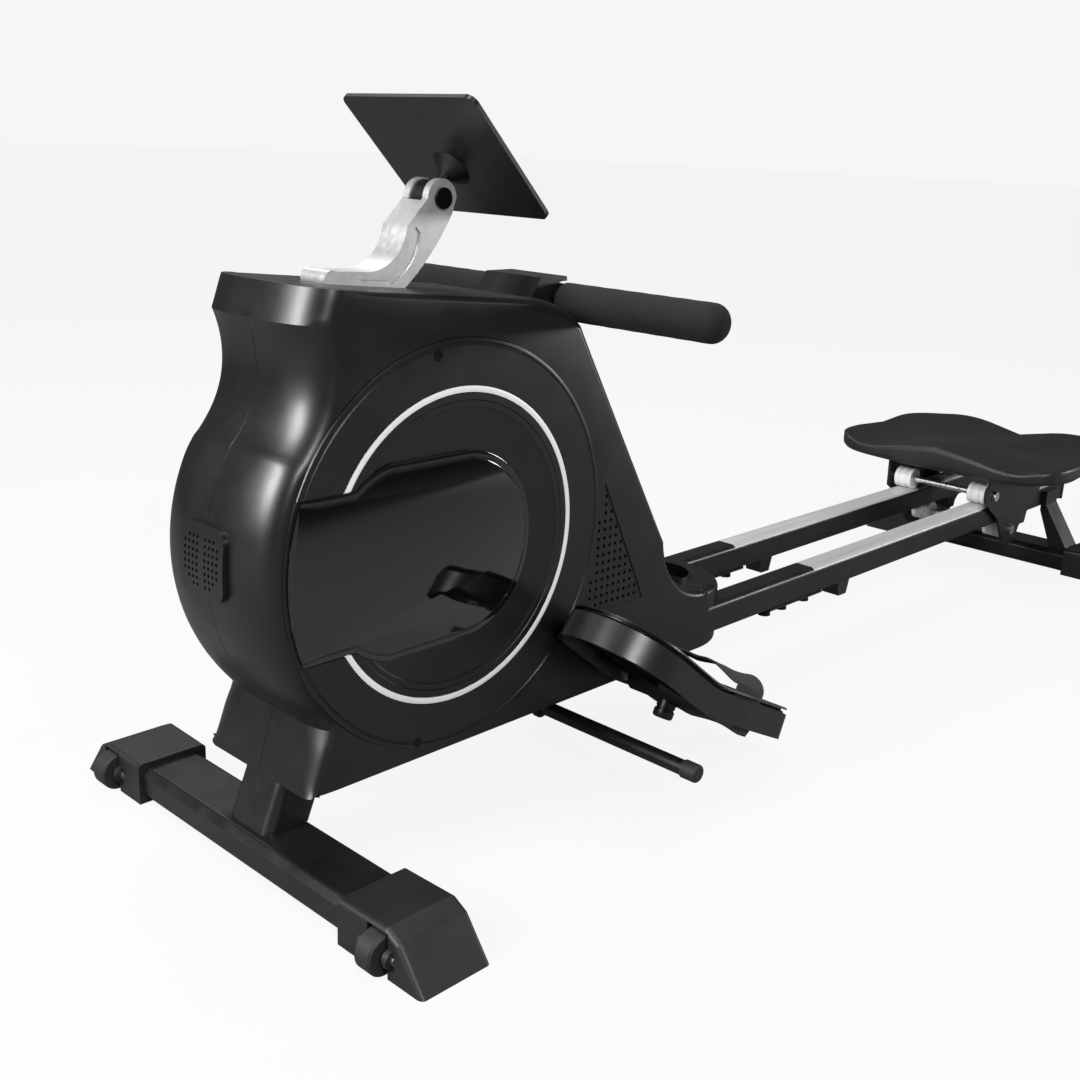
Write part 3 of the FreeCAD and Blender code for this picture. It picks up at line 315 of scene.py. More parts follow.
def arc(a, b, c, step):
    """Points from a through b to c on their circle, about step apart, without a itself."""
    (ax, az), (bx, bz), (cx, cz) = a, b, c
    d = 2 * (ax * (bz - cz) + bx * (cz - az) + cx * (az - bz))
    aa, bb, cc = ax * ax + az * az, bx * bx + bz * bz, cx * cx + cz * cz
    ux = (aa * (bz - cz) + bb * (cz - az) + cc * (az - bz)) / d
    uz = (aa * (cx - bx) + bb * (ax - cx) + cc * (bx - ax)) / d
    radius = math.hypot(ax - ux, az - uz)
    first, mid, last = (math.atan2(p[1] - uz, p[0] - ux) for p in (a, b, c))
    sweep = (last - first) % (2 * math.pi)
    if (mid - first) % (2 * math.pi) > sweep:
        sweep -= 2 * math.pi
    count = max(3, int(abs(sweep) * radius / step))
    return [
        (ux + radius * math.cos(first + sweep * i / count),
         uz + radius * math.sin(first + sweep * i / count))
        for i in range(1, count + 1)
    ]


def line(a, b, step):
    """Points from a to b, at least step apart where there is room, without a itself."""
    count = max(1, int(math.dist(a, b) / step))
    return [(a[0] + (b[0] - a[0]) * i / count, a[1] + (b[1] - a[1]) * i / count)
            for i in range(1, count + 1)]


# ---- housing ---------------------------------------------------------------------------------

HALF = 80.0  # from the seam to a side plane
WALL = 3
FLOOR_Z = 88.0
TOWER_X, TOWER_TOP, TOWER_LIP = 552.0, 160.0, 0.2  # the round tower that holds the cup
TOWER_REACH, TOWER_LEAN = 84, 3  # the tower's top falls this far over its reach
TOWER_STEPS = 22
VISOR_TIP, VISOR_END = (4, 531), (245, 510)  # both ends of the flat top
VISOR_DEPTH, VISOR_REACH = 30.0, 57.0
BROW_ROWS = (7, 11, 16, 21, 26, 30, 34)  # extra rows, in x, over the visor's rounded corner
EDGE_FROM, EDGE_RUN = 20, 60  # where the top's side edge starts to round, and over what length
SOFT_PASSES = 9

COVER, COVER_RADIUS, FACE = (162, 289), 193.0, 82.0  # side cover: axis, radius, outer face
COVER_GAP, COVER_LEDGE = 0.2, 7.0
SCREWS = ((133, 468), (115, 108))
PEDAL_AXLE = (400, 104)


def visor_top(x):
    """Height of the flat top at x."""
    (x0, z0), (x1, z1) = VISOR_TIP, VISOR_END
    return z0 - (z0 - z1) * (x - x0) / (x1 - x0)


def housing_outline():
    """Side outline from the tower's underside round the drum to the tower's top.

    Each entry is (x, z, depth, reach, level): how far the edge rounds in, over what width, and
    how much of that rounding is level, seen from above, instead of square to the outline."""
    start = (TOWER_X, FLOOR_Z)
    steps = [
        (((-6, 88),), 4, 4, 0),
        (((13, 146),), 8, 24, 0),
        (((-52, 290), (-24, 395)), 19, 56, 0),
        (((3, 452), (-6, 501)), 27, 57, 1),
        ((VISOR_TIP,), VISOR_DEPTH, VISOR_REACH, 1),
        ((VISOR_END,), 6, 7, 0),
        (((290, 501), (322, 481)), 8, 9, 0),
        (((474, 235),), 9, 11, 0),
        (((504, 178), (556, 160)), 8, 9, 0),
    ]
    here, runs = start, []
    for points, depth, reach, level in steps:
        run = arc(here, *points, 4) if len(points) == 2 else line(here, points[0], 6)
        runs.append([(x, z, depth, reach, level) for x, z in run])
        here = points[-1]
    front, back = [(*start, 4, 4, 0)] + sum(runs[:5], []), sum(runs[5:], [])
    back = [row for row in back if VISOR_TIP[0] + VISOR_DEPTH < row[0] <= TOWER_X]
    back = [
        (x, z, depth * min(1, (x - EDGE_FROM) / EDGE_RUN), reach, level)
        for x, z, depth, reach, level in back
    ]
    back.append((TOWER_X, TOWER_TOP + TOWER_LIP, 8, 9, 0))
    return soften(front) + soften(back)


def soften(rows):
    """Blends the edge's depth, reach and level from each run to the next."""
    for _ in range(SOFT_PASSES):
        soft = [
            tuple((before[k] + row[k] + after[k]) / 3 for k in (2, 3, 4))
            for before, row, after in zip(rows, rows[1:], rows[2:])
        ]
        rows = [rows[0]] + [(r[0], r[1], *s) for r, s in zip(rows[1:-1], soft)] + [rows[-1]]
    return rows


def section(depth, reach, steps=9):
    """(y, inward offset) from the seam to the side plane, with a shallow groove at the seam."""
    points = [(0.0, 0.7), (-0.5, 0.0)]
    flat = HALF - reach
    points += [(-flat * k / 3, 0.0) for k in (1, 2, 3)]
    for k in range(1, steps + 1):
        angle = math.pi / 2 * k / steps
        points.append((-flat - reach * math.sin(angle), depth * (1 - math.cos(angle))))
    return points


def housing_shell():
    """Outer skin of the left half, before its openings."""
    rows = housing_outline()
    vertices = []
    count = len(rows)
    columns = len(section(1, 1))
    turns = [i for i, row in enumerate(rows) if row[:2] == VISOR_TIP]
    for i, (x, z, depth, reach, level) in enumerate(rows):
        before, after = rows[max(i - 1, 0)], rows[min(i + 1, count - 1)]
        dx, dz = after[0] - before[0], after[1] - before[1]
        length = math.hypot(dx, dz)
        across, down = dz / length * (1 - level) + level, -dx / length * (1 - level)
        size = math.hypot(across, down)
        for y, offset in section(depth, reach):
            drop = visor_top(x + offset) - VISOR_TIP[1] if i in turns else 0
            vertices.append((x + across / size * offset, y, z + down / size * offset + drop))
    corner = turns[-1]
    brow = vertices[corner * columns:(corner + 1) * columns]
    fill = []
    for x in BROW_ROWS:
        for bx, by, _ in brow:
            here = max(x, bx)
            fill.append((here, by, visor_top(here)))
    vertices[(corner + 1) * columns:(corner + 1) * columns] = fill
    count += len(BROW_ROWS)
    faces = grid_faces(count, columns)
    rim = [i * columns + columns - 1 for i in range(count)]
    rim = [i for i in rim if math.dist(vertices[i], vertices[i - columns]) > 0.01]
    loop = [Vector((vertices[i][0], vertices[i][2], 0)) for i in rim]
    faces += [tuple(rim[k] for k in triangle) for triangle in tessellate_polygon([loop])]
    base = len(vertices)
    tower, fan = tower_fan(section(*rows[-1][2:4]), section(*rows[0][2:4]))
    vertices += tower
    faces += [tuple(base + k for k in face) for face in fan]
    return [at(*v) for v in vertices], faces


def tower_fan(top, foot):
    """The tower's quarter turn, between the sections of its top and of its foot."""
    profile = [(-y, TOWER_TOP + TOWER_LIP - offset) for y, offset in top]
    profile += [(-y, FLOOR_Z + offset) for y, offset in foot][::-1]
    vertices = []
    for j in range(TOWER_STEPS + 1):
        turn = math.pi / 2 * j / TOWER_STEPS
        for radius, z in profile:
            x = TOWER_X + radius * math.sin(turn)
            share = (z - FLOOR_Z) / (TOWER_TOP - FLOOR_Z)
            lean = -TOWER_LEAN * (x - TOWER_X) / TOWER_REACH * share
            vertices.append((x, -radius * math.cos(turn), z + lean))
    return vertices, grid_faces(TOWER_STEPS + 1, len(profile))


def cutter(vertices, faces):
    """A helper solid for a boolean."""
    mesh = bpy.data.meshes.new("cutter")
    mesh.from_pydata([tuple(v) for v in vertices], [], faces)
    clean = bmesh.new()
    clean.from_mesh(mesh)
    bmesh.ops.recalc_face_normals(clean, faces=clean.faces)
    clean.to_mesh(mesh)
    clean.free()
    obj = bpy.data.objects.new("cutter", mesh)
    bpy.context.scene.collection.objects.link(obj)
    return obj


def prism_faces(count):
    """Faces of a prism whose two outlines of count points follow one another."""
    faces = [tuple(range(count)), tuple(range(2 * count - 1, count - 1, -1))]
    for i in range(count):
        j = (i + 1) % count
        faces.append((i, j, count + j, count + i))
    return faces


def prism(loop, y_from, y_to):
    """A cutter over an outline in the XZ plane."""
    vertices = [at(x, y, z) for y in (y_from, y_to) for x, z in loop]
    return cutter(vertices, prism_faces(len(loop)))


def box_cutter(x, y, z):
    """A cutter between the (low, high) pairs x, y and z."""
    loop = [(x[0], z[0]), (x[1], z[0]), (x[1], z[1]), (x[0], z[1])]
    return prism(loop, *y)


def disc(x, z, radius, count=128):
    """A circle's outline."""
    return [(x + radius * math.cos(2 * math.pi * i / count),
             z + radius * math.sin(2 * math.pi * i / count)) for i in range(count)]


def upright(x, y, radius, z_from, z_to):
    """A vertical round cutter."""
    ring = disc(x, y, radius, 96)
    vertices = [at(px, py, z) for z in (z_from, z_to) for px, py in ring]
    return cutter(vertices, prism_faces(len(ring)))


def carve(piece, tools, operation, sharp):
    """Applies each tool to the piece, removes it, and marks the sharp edges again."""
    for tool in tools:
        apply_modifier(piece, "BOOLEAN", operation=operation, solver="EXACT", object=tool)
        bpy.data.objects.remove(tool)
    piece.data.set_sharp_from_angle(angle=math.radians(sharp))


GRILLE = [(366, 318), (438, 178), (341, 178), (353, 235), (359, 280)]
DOCK = [(289, 503), (303, 523), (339, 523), (341, 473), (321, 466), (291, 479)]


def housing_cutters():
    """The left half's openings, as in the CAD."""
    outside = -HALF - 5
    return [
        box_cutter((-2, 84), (-37, 1), (60, 95)),  # front neck
        box_cutter((330, 408), (-28, 1), (60, 95)),  # bracket of the rest rod
        prism(disc(*PEDAL_AXLE, 9, 40), outside, 1),
        box_cutter((480, 660), (-80.1, -44.9), (102.4, 138.1)),  # rail
        prism(disc(*COVER, COVER_RADIUS - COVER_LEDGE), outside, -HALF + 8),
        prism(disc(*COVER, COVER_RADIUS + COVER_GAP, 192), outside, -HALF + 1.5),
        upright(560, 0, 43, 104.5, 240),  # cup holder
        prism(DOCK, -39, 1),
        prism(GRILLE, -HALF - 1, -HALF + 6),
    ]


def build_housing():
    vertices, faces = housing_shell()
    left = make_piece("housing_shell_left", vertices, faces, "housing_plastic", None)
    apply_modifier(left, "SOLIDIFY", thickness=WALL * MM, offset=-1.0)
    carve(left, housing_cutters(), "DIFFERENCE", 32)
    mirror = left.data.copy()
    mirror.transform(Matrix.Diagonal((1, -1, 1, 1)))
    mirror.flip_normals()
    right = bpy.data.objects.new("housing_shell_right", mirror)
    bpy.context.scene.collection.objects.link(right)
    for obj, node in ((left, "housing_left"), (right, "housing_right")):
        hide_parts(node)
        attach(obj, "frame")


build_housing()

# ---- side covers, accent rings and gloss panels ----------------------------------------------

SCREW_HEAD, SCREW_HOLE = 5.2, 4.1
RING_IN, RING_OUT = 143.6, 149.8  # the accent ring's groove


def cover_panel(grow):
    """Outline of the gloss panel, grown outward by some millimetres."""
    loop = [(-30, 216.5), (-30, 289), (-30, 361.5), (6, 361.5), (43, 361.5)]
    for through in (((58, 371.5), (80, 379)), ((173, 379),), ((230, 352), (253, 289)),
                    ((230, 226), (173, 199)), ((80, 199),), ((58, 206.5), (43, 216.5)),
                    ((6, 216.5),)):
        straight = len(through) == 1
        loop += line(loop[-1], *through, 6) if straight else arc(loop[-1], *through, 3)
    grown = []
    for k, (x, z) in enumerate(loop):
        (x0, z0), (x1, z1) = loop[k - 1], loop[(k + 1) % len(loop)]
        dx, dz = x1 - x0, z1 - z0
        length = math.hypot(dx, dz)
        grown.append((x - dz / length * grow, z + dx / length * grow))
    return grown


def cover_cutter(loop, side, depth_from, depth_to):
    """A cutter between two distances from the middle plane, on one side."""
    first, last = sorted((side * depth_from, side * depth_to))
    return prism(loop, first, last)


def cover_turned(name, profile, slot, side, stands_for):
    """A piece turned about the cover's axis, with the panel's pocket cut out of it."""
    turned, faces = revolve([(r, side * y) for r, y in profile], COVER, 192)
    piece = make_piece(name, turned, faces, slot, None, stands_for, sharp=28)
    outside = FACE + 4
    tools = [cover_cutter(cover_panel(1.0), side, FACE - 1.3, outside)]
    if slot == "housing_plastic":
        for radius, depth in ((SCREW_HEAD, 1.2), (SCREW_HOLE, 5)):
            for spot in SCREWS:
                tools.append(cover_cutter(disc(*spot, radius, 48), side, FACE - depth, outside))
    carve(piece, tools, "DIFFERENCE", 28)
    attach(piece, "frame")


def build_covers():
    for side, name in ((-1, "left"), (1, "right")):
        dish = [(0.5, 3.5), (0.5, 2.6), (123, 2.6), (128.5, 1.6), (130, 1.5), (131, 0.9),
                (136, 0.8), (137.2, 0)]
        groove = [(RING_IN - 0.4, 0), (RING_IN, 0.5), (RING_IN, 1.5), (RING_OUT, 1.5),
                  (RING_OUT, 0.5), (RING_OUT + 0.4, 0)]
        edge = [(186, 0), (187, 0.9), (188, 0.9), (189, 0), (COVER_RADIUS - 1.6, 0),
                (COVER_RADIUS - 0.5, 0.4), (COVER_RADIUS, 1.4), (COVER_RADIUS, 3.5)]
        profile = [(radius, FACE - depth) for radius, depth in dish + groove + edge]
        cover_turned(f"cover_turned_{name}", profile, "housing_plastic", side,
                     (f"disc_cover_{name}",))
        low, high = RING_IN + 0.3, RING_OUT - 0.3
        ring = [(low, 1.4), (low, 0.2), (low + 0.4, 0), (high - 0.4, 0), (high, 0.2), (high, 1.4)]
        ring = [(radius, FACE - depth) for radius, depth in ring]
        cover_turned(f"cover_ring_{name}", ring, "ring_white", side,
                     ("accent_rings",) if side < 0 else ())
        panel_piece(name, side)


# The panel's stepped border: (inset from its outline, height over the cover's face).
PANEL_RIMS = [(0.0, -1.2), (0.0, -0.3), (0.35, 0.15), (1.0, 0.35), (5.2, 0.35), (5.8, -0.1),
              (6.4, -0.1), (7.2, 0.6), (8.6, 1.0)]


def panel_piece(name, side):
    """The gloss panel: a raised plate, cut off round the cover's edge."""
    rows = []
    for inset, height in PANEL_RIMS:
        rows.append([(x, z, FACE + height) for x, z in cover_panel(-inset)])
    count = len(rows[0])
    vertices = [at(x, side * out, z) for row in rows for x, z, out in row]
    faces = grid_faces(len(rows), count, wrap_columns=True)
    for row in (0, len(rows) - 1):
        start = row * count
        loop = [Vector((p[0], p[1], 0)) for p in rows[row]]
        faces += [tuple(start + k for k in t) for t in tessellate_polygon([loop])]
    stands = ("gloss_panels",) if side < 0 else ()
    panel = make_piece(f"panel_gloss_{name}", vertices, faces, "gloss_black", None, stands, 24)
    keep = cover_cutter(disc(*COVER, COVER_RADIUS - 4.2, 192), side, FACE - 6, FACE + 6)
    carve(panel, [keep], "INTERSECT", 24)
    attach(panel, "frame")


build_covers()

# ---- handle grips and pull strap -------------------------------------------------------------

HANDLE_AXIS = (335, 499)
GRIP_RADIUS, GRIP_BORE, GRIP_START, GRIP_DOME = 18.4, 12.6, 42.0, 15.0
GRIP_EASE = 1.4  # the inner end's bevel
GRIP_SWELL = 0.12  # how uneven the foam's radius is
PULL_WIDTH, PULL_THICK = 26, 2


def build_grips():
    """Foam sleeves with a bevelled inner end and a closed, domed outer end."""
    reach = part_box("foam_grips")[1].y / MM
    start, shoulder = GRIP_START + GRIP_EASE, reach - GRIP_DOME
    run, turns, tip = 24, 12, 0.4
    for side, name in ((-1, "left"), (1, "right")):
        profile = [(GRIP_BORE, GRIP_START), (GRIP_RADIUS - 1.2, GRIP_START), (GRIP_RADIUS, start)]
        for k in range(1, run + 1):
            swell = GRIP_SWELL * math.sin(k * 1.7)
            profile.append((GRIP_RADIUS + swell, start + (shoulder - start) * k / run))
        for k in range(1, turns + 1):
            angle = math.pi / 2 * k / turns
            radius = GRIP_RADIUS * math.cos(angle) ** 0.8 if k < turns else tip
            profile.append((radius, shoulder + GRIP_DOME * math.sin(angle)))
        profile += [(tip, reach - 6), (GRIP_BORE, reach - 7)]
        turned, faces = revolve([(r, side * y) for r, y in profile], HANDLE_AXIS, 72)
        stands = ("foam_grips",) if side < 0 else ()
        make_piece(f"grip_{name}", turned, faces, "foam_black", "handle", stands, sharp=50)


def ribbon_section(width, thick):
    """(across, out) round a strap with rounded selvedges."""
    points = []
    half, h = width / 2, thick / 2
    for side in (1, -1):
        for k in range(9):
            points.append((side * (-half + h + (width - 2 * h) * k / 8), side * h))
        for k in range(1, 4):
            angle = side * math.pi / 2 - math.pi * k / 4
            points.append((side * (half - h) + h * math.cos(angle), h * math.sin(angle)))
    return points


def ribbon(name, path, normals, width, thick, body, stands_for=(), closed=False):
    """A webbing strap that follows path, with UVs in metres, across and along it.

    path holds places in the row frame, and normals the strap's outward side at each."""
    section_points = ribbon_section(width * MM, thick * MM)
    count = len(section_points)
    vertices, uvs, run = [], [], 0.0
    total = len(path)
    for i in range(total):
        before = path[i - 1] if closed or i else path[i]
        after = path[(i + 1) % total] if closed or i < total - 1 else path[i]
        along = (after - before).normalized()
        out = (normals[i] - along * normals[i].dot(along)).normalized()
        across = along.cross(out)
        if i:
            run += (path[i] - path[i - 1]).length
        for u, v in section_points:
            vertices.append(path[i] + across * u + out * v)
            uvs.append((u, run))
    faces = grid_faces(total, count, wrap_rows=closed, wrap_columns=True)
    if not closed:
        last = (total - 1) * count
        faces += [tuple(range(count)), tuple(range(last + count - 1, last - 1, -1))]
    make_piece(name, vertices, faces, "strap_black", body, stands_for, sharp=60, uvs=uvs)


def build_pull_strap():
    low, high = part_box("pull_strap")
    z = (low.z + high.z) / 2
    steps = 24
    path = [Vector((low.x + (high.x - low.x) * i / steps, 0, z)) for i in range(steps + 1)]
    up = [Vector((0, 0, 1))] * len(path)
    ribbon("pull_strap_web", path, up, PULL_WIDTH, PULL_THICK, "handle", ("pull_strap",))


build_grips()
build_pull_strap()

# ---- pedals and their straps -----------------------------------------------------------------

TOE, BEND, HEEL = Vector((284, 0, 220)), Vector((397, 0, 132)), Vector((538, 0, 62))
BEND_EASE = 22  # length of the curve on each side of the bend
PEDAL_MIDDLE, PEDAL_HALF, PEDAL_LENGTH = 159.0, 58.6, 300.0
HEEL_CORNER, HEEL_TAPER, TAPER_FROM = 10, 7, 205


def pedal_point(s, t, height, side):
    """A point s along the pedal from its toe, t across it and height over its bent top."""
    steep, flat = (BEND - TOE).normalized(), (HEEL - BEND).normalized()
    knee = (BEND - TOE).length
    share = min(1.0, max(0.0, (s - knee + BEND_EASE) / (2 * BEND_EASE)))
    along = steep.lerp(flat, share).normalized()
    if s < knee - BEND_EASE:
        spine = TOE + steep * s
    elif s > knee + BEND_EASE:
        spine = BEND + flat * (s - knee)
    else:
        start, end = BEND - steep * BEND_EASE, BEND + flat * BEND_EASE
        spine = start.lerp(BEND, share).lerp(BEND.lerp(end, share), share)
    rise = Vector((-along.z, 0, along.x))
    p = spine + rise * height
    return at(p.x, side * (PEDAL_MIDDLE + t), p.z)


def pedal_outline():
    """(s, t, outward normal) round the pedal: round toe, straight sides, tapered heel."""
    points = []
    for k in range(41):
        angle = math.pi * (k / 40 - 0.5)
        points.append((PEDAL_HALF * (1 - math.cos(angle)), PEDAL_HALF * math.sin(angle)))
    end = PEDAL_LENGTH - HEEL_CORNER
    sides = [PEDAL_HALF + (end - PEDAL_HALF) * k / 36 for k in range(1, 37)]
    taper_run = PEDAL_LENGTH - TAPER_FROM
    right = [(s, PEDAL_HALF - HEEL_TAPER * max(0.0, (s - TAPER_FROM) / taper_run)) for s in sides]
    corner, flat = [], right[-1][1] - HEEL_CORNER
    for k in range(1, 7):
        angle = math.pi / 2 * k / 6
        corner.append((end + HEEL_CORNER * math.sin(angle), flat + HEEL_CORNER * math.cos(angle)))
    heel = [(PEDAL_LENGTH, flat * (1 - k / 4)) for k in range(1, 5)]
    half = right + corner + heel
    points += half + [(s, -t) for s, t in half[-2::-1]]
    result, count = [], len(points)
    for k, (s, t) in enumerate(points):
        (s0, t0), (s1, t1) = points[k - 1], points[(k + 1) % count]
        ds, dt = s1 - s0, t1 - t0
        length = math.hypot(ds, dt)
        result.append((s, t, dt / length, -ds / length))
    return result


# The pedal's moulding as (inset from its outline, height over its top), from the deck outward.
PEDAL_RIM = [(6.4, -2.4), (5.2, -0.2), (4.4, 0.0), (1.0, 0.0), (0.2, -0.6), (0.0, -1.6),
             (0.0, -3.6), (0.6, -4.4), (2.6, -5.0), (3.4, -6.0), (4.2, -17.4)]
# The groove round its skirt has a third value: how much deeper it is at the heel.
PEDAL_GROOVE = [(4.3, -18.2, 0), (4.3, -18.6, 2.6), (4.4, -20.6, 2.6), (4.4, -21.0, 0.6)]
PEDAL_SKIRT = [(5.6, -34.4), (6.2, -35.4), (7.6, -35.4), (8.2, -34.6), (7.4, -7.0)]
DECK_TOP, DECK_UNDER = -2.6, -6.4
DECK_SHARES = (0.02, 0.3, 0.6, 0.85)
SPINE_FROM, SPINE_TO = 60.0, 284.0  # the line that the deck's rings shrink to
GROOVE_FROM, GROOVE_RUN = 196, 20


def pedal_mesh(side):
    """One closed skin: deck, raised rim, grooved skirt and the deck's underside."""
    outline = pedal_outline()
    count = len(outline)
    rings = []

    def ring(inset, height, groove=0.0, share=1.0):
        row = []
        for s, t, ns, nt in outline:
            cut = inset + groove * min(1.0, max(0.0, (s - GROOVE_FROM) / GROOVE_RUN))
            ps, pt = s - ns * cut, t - nt * cut
            ms = min(max(s, SPINE_FROM), SPINE_TO)
            row.append((ms + (ps - ms) * share, pt * share, height))
        rings.append(row)

    for share in DECK_SHARES:
        ring(7.0, DECK_TOP, share=share)
    for row in PEDAL_RIM + PEDAL_GROOVE + PEDAL_SKIRT:
        ring(*row)
    for share in DECK_SHARES[::-1]:
        ring(7.4, DECK_UNDER, share=share)
    vertices = [pedal_point(s, t, h, side) for row in rings for s, t, h in row]
    faces = grid_faces(len(rings), count, wrap_columns=True)
    last = (len(rings) - 1) * count
    faces += [tuple(range(count)), tuple(range(last + count - 1, last - 1, -1))]
    return vertices, faces


def add_rib(vertices, faces, side, start, end, low):
    """A thin upright web under the deck between two (s, t) points."""
    base, steps = len(vertices), 18
    for k in range(steps + 1):
        s = start[0] + (end[0] - start[0]) * k / steps
        t = start[1] + (end[1] - start[1]) * k / steps
        for shift, height in ((-1, -5.5), (1, -5.5), (0.8, low), (-0.8, low)):
            vertices.append(pedal_point(s, t + shift, height, side))
    web = grid_faces(steps + 1, 4, wrap_columns=True)
    faces += [tuple(base + i for i in face) for face in web]
    last = base + steps * 4
    faces += [(base, base + 1, base + 2, base + 3), (last + 3, last + 2, last + 1, last)]


def add_turned(vertices, faces, profile, foot, axis, segments=40):
    """A closed (radius, height) profile in millimetres turned about axis from foot."""
    axis = axis.normalized()
    u = axis.orthogonal().normalized()
    v = axis.cross(u)
    base = len(vertices)
    for i in range(segments):
        angle = 2 * math.pi * i / segments
        out = u * math.cos(angle) + v * math.sin(angle)
        for radius, height in profile:
            vertices.append(foot + (out * radius + axis * height) * MM)
    turned = grid_faces(segments, len(profile), wrap_rows=True, wrap_columns=True)
    faces += [tuple(base + i for i in face) for face in turned]


# Webs under the deck, each between two (s, t) points: long ones, then the cross ones' s.
LONG_RIBS = (((18, -30), (290, 10)), ((10, 8), (290, 40)), ((70, 48), (190, 50)),
             ((150, -50), (292, -36)))
CROSS_RIBS = (104, 196, 246)
LONG_RIB_LOW, CROSS_RIB_LOW = -27, -22
# The axle's sleeve and the bumper under the pedal, as (radius, height) profiles.
SLEEVE = [(8.05, 0), (12.8, 0), (13.8, 1), (13.8, 101), (12.8, 102), (8.05, 102)]
SLEEVE_Y = 108.0
BUMPER = [(0.3, -2), (10.2, -2), (10.2, 12), (9.4, 12.6), (9.4, 14), (10.9, 15), (10.9, 21),
          (9.8, 23.4), (7.5, 24), (0.3, 24)]
BUMPER_FOOT, BUMPER_AXIS = (399, 156, 97), (-0.45, 0, -0.89)
TREADS, TREAD_FROM, TREAD_STEP = 17, 66, 12.6
BARE_AT, BARE_HALF = 143, 9  # no tread where the deck bends


def build_pedals():
    for side, name in ((-1, "left"), (1, "right")):
        vertices, faces = pedal_mesh(side)
        for start, end in LONG_RIBS:
            add_rib(vertices, faces, side, start, end, LONG_RIB_LOW)
        for s in CROSS_RIBS:
            add_rib(vertices, faces, side, (s, -50), (s + 1, 50), CROSS_RIB_LOW)
        x, z = PEDAL_AXLE
        sleeve_foot = at(x, side * SLEEVE_Y, z)
        add_turned(vertices, faces, SLEEVE, sleeve_foot, Vector((0, side, 0)))
        x, y, z = BUMPER_FOOT
        add_turned(vertices, faces, BUMPER, at(x, side * y, z), Vector(BUMPER_AXIS))
        make_piece(f"pedal_moulded_{name}", vertices, faces, "housing_plastic", f"{name}_pedal",
                   (f"pedal_{name}",), sharp=30)
        treads = [[], []]
        for k in range(TREADS):
            s = TREAD_FROM + k * TREAD_STEP
            if abs(s - BARE_AT) < BARE_HALF:
                continue
            for t0, t1 in ((-44, -4), (4, 44)):
                add_tread(treads, side, s, t0, t1)
        make_piece(f"pedal_treads_{name}", *treads, "housing_plastic", f"{name}_pedal", sharp=30)


def add_tread(treads, side, s, t0, t1):
    """A low rounded tread bar on the deck."""
    vertices, faces = treads
    base = len(vertices)
    for t in (t0, t0 + 1.5, t1 - 1.5, t1):
        top = -1.0 if t in (t0, t1) else -0.4
        for ds, height in ((-2.6, -3.2), (-1.8, top), (1.8, top), (2.6, -3.2)):
            vertices.append(pedal_point(s + ds, t, height, side))
    faces += [tuple(base + i for i in face) for face in grid_faces(4, 4, wrap_columns=True)]
    faces += [(base, base + 1, base + 2, base + 3), (base + 15, base + 14, base + 13, base + 12)]


STRAP_PLACE, STRAP_BACK = Vector((425, 0, 118.1)), 28  # its front edge, and on to its middle
STRAP_WIDTH, STRAP_THICK = 53, 2.4
STRAP_INNER, STRAP_OUTER = 98.8, 219.2  # the loop's sides, from the middle plane
STRAP_LOW, STRAP_SHOULDER, STRAP_CROWN = -38.0, 6, 13.5


def build_pedal_straps():
    """A webbing band round each pedal's heel part, closed low over the foot space."""
    slope = math.atan2(BEND.z - HEEL.z, HEEL.x - BEND.x)
    along = Vector((math.cos(slope), 0, -math.sin(slope)))
    rise = Vector((math.sin(slope), 0, math.cos(slope)))
    start = STRAP_PLACE + along * STRAP_BACK
    inner, outer, low, shoulder = STRAP_INNER, STRAP_OUTER, STRAP_LOW, STRAP_SHOULDER
    middle, half = (inner + outer) / 2, (outer - inner) / 2
    outline = []
    for k in range(17):
        outline.append((inner + (outer - inner) * k / 16, low))
    for k in range(1, 14):
        outline.append((outer, low + (shoulder - low) * k / 14))
    for k in range(41):
        angle = math.pi * k / 40
        crown = STRAP_CROWN * math.sin(angle) ** 0.9
        outline.append((middle + half * math.cos(angle), shoulder + crown))
    for k in range(1, 14):
        outline.append((inner, shoulder + (low - shoulder) * k / 14))
    centre = (middle, -8)
    for side, name in ((-1, "left"), (1, "right")):
        path, normals = [], []
        for k, (y, up) in enumerate(outline):
            sway = 1.4 * math.sin(y * 0.09) + 1.0 * math.sin(up * 0.16)
            p = start + rise * up + along * sway
            path.append(at(p.x, side * y, p.z))
            spread = Vector((0, side * (y - centre[0]), 0)) + rise * (up - centre[1])
            normals.append(spread)
        ribbon(f"pedal_web_{name}", path, normals, STRAP_WIDTH, STRAP_THICK, f"{name}_pedal",
               (f"pedal_strap_{name}",), closed=True)


build_pedals()
build_pedal_straps()

# ---- seat ------------------------------------------------------------------------------------


SEAT_THICK, SEAT_SKIRT = 20.5, 26
SEAT_RINGS, SEAT_SPOKES = 46, 168
CORNER_POWER = 0.36  # 1 would be an ellipse, 0 a rectangle
WAIST = 0.05  # how much narrower the seat is at its middle
EDGE_ROLL, EDGE_FROM_SHARE = 3.2, 0.955
# The skirt under the top edge: (share of the outline, drop in millimetres of SEAT_SKIRT).
SKIRT = [(1.0, 7), (1.0, 15), (0.997, 20), (0.985, 23.5), (0.955, 25.4), (0.90, SEAT_SKIRT)]
LIP_DROOP = 6.0  # how far the front lip hangs under the underside


def bell(x, middle, width):
    return math.exp(-((x - middle) / width) ** 2)


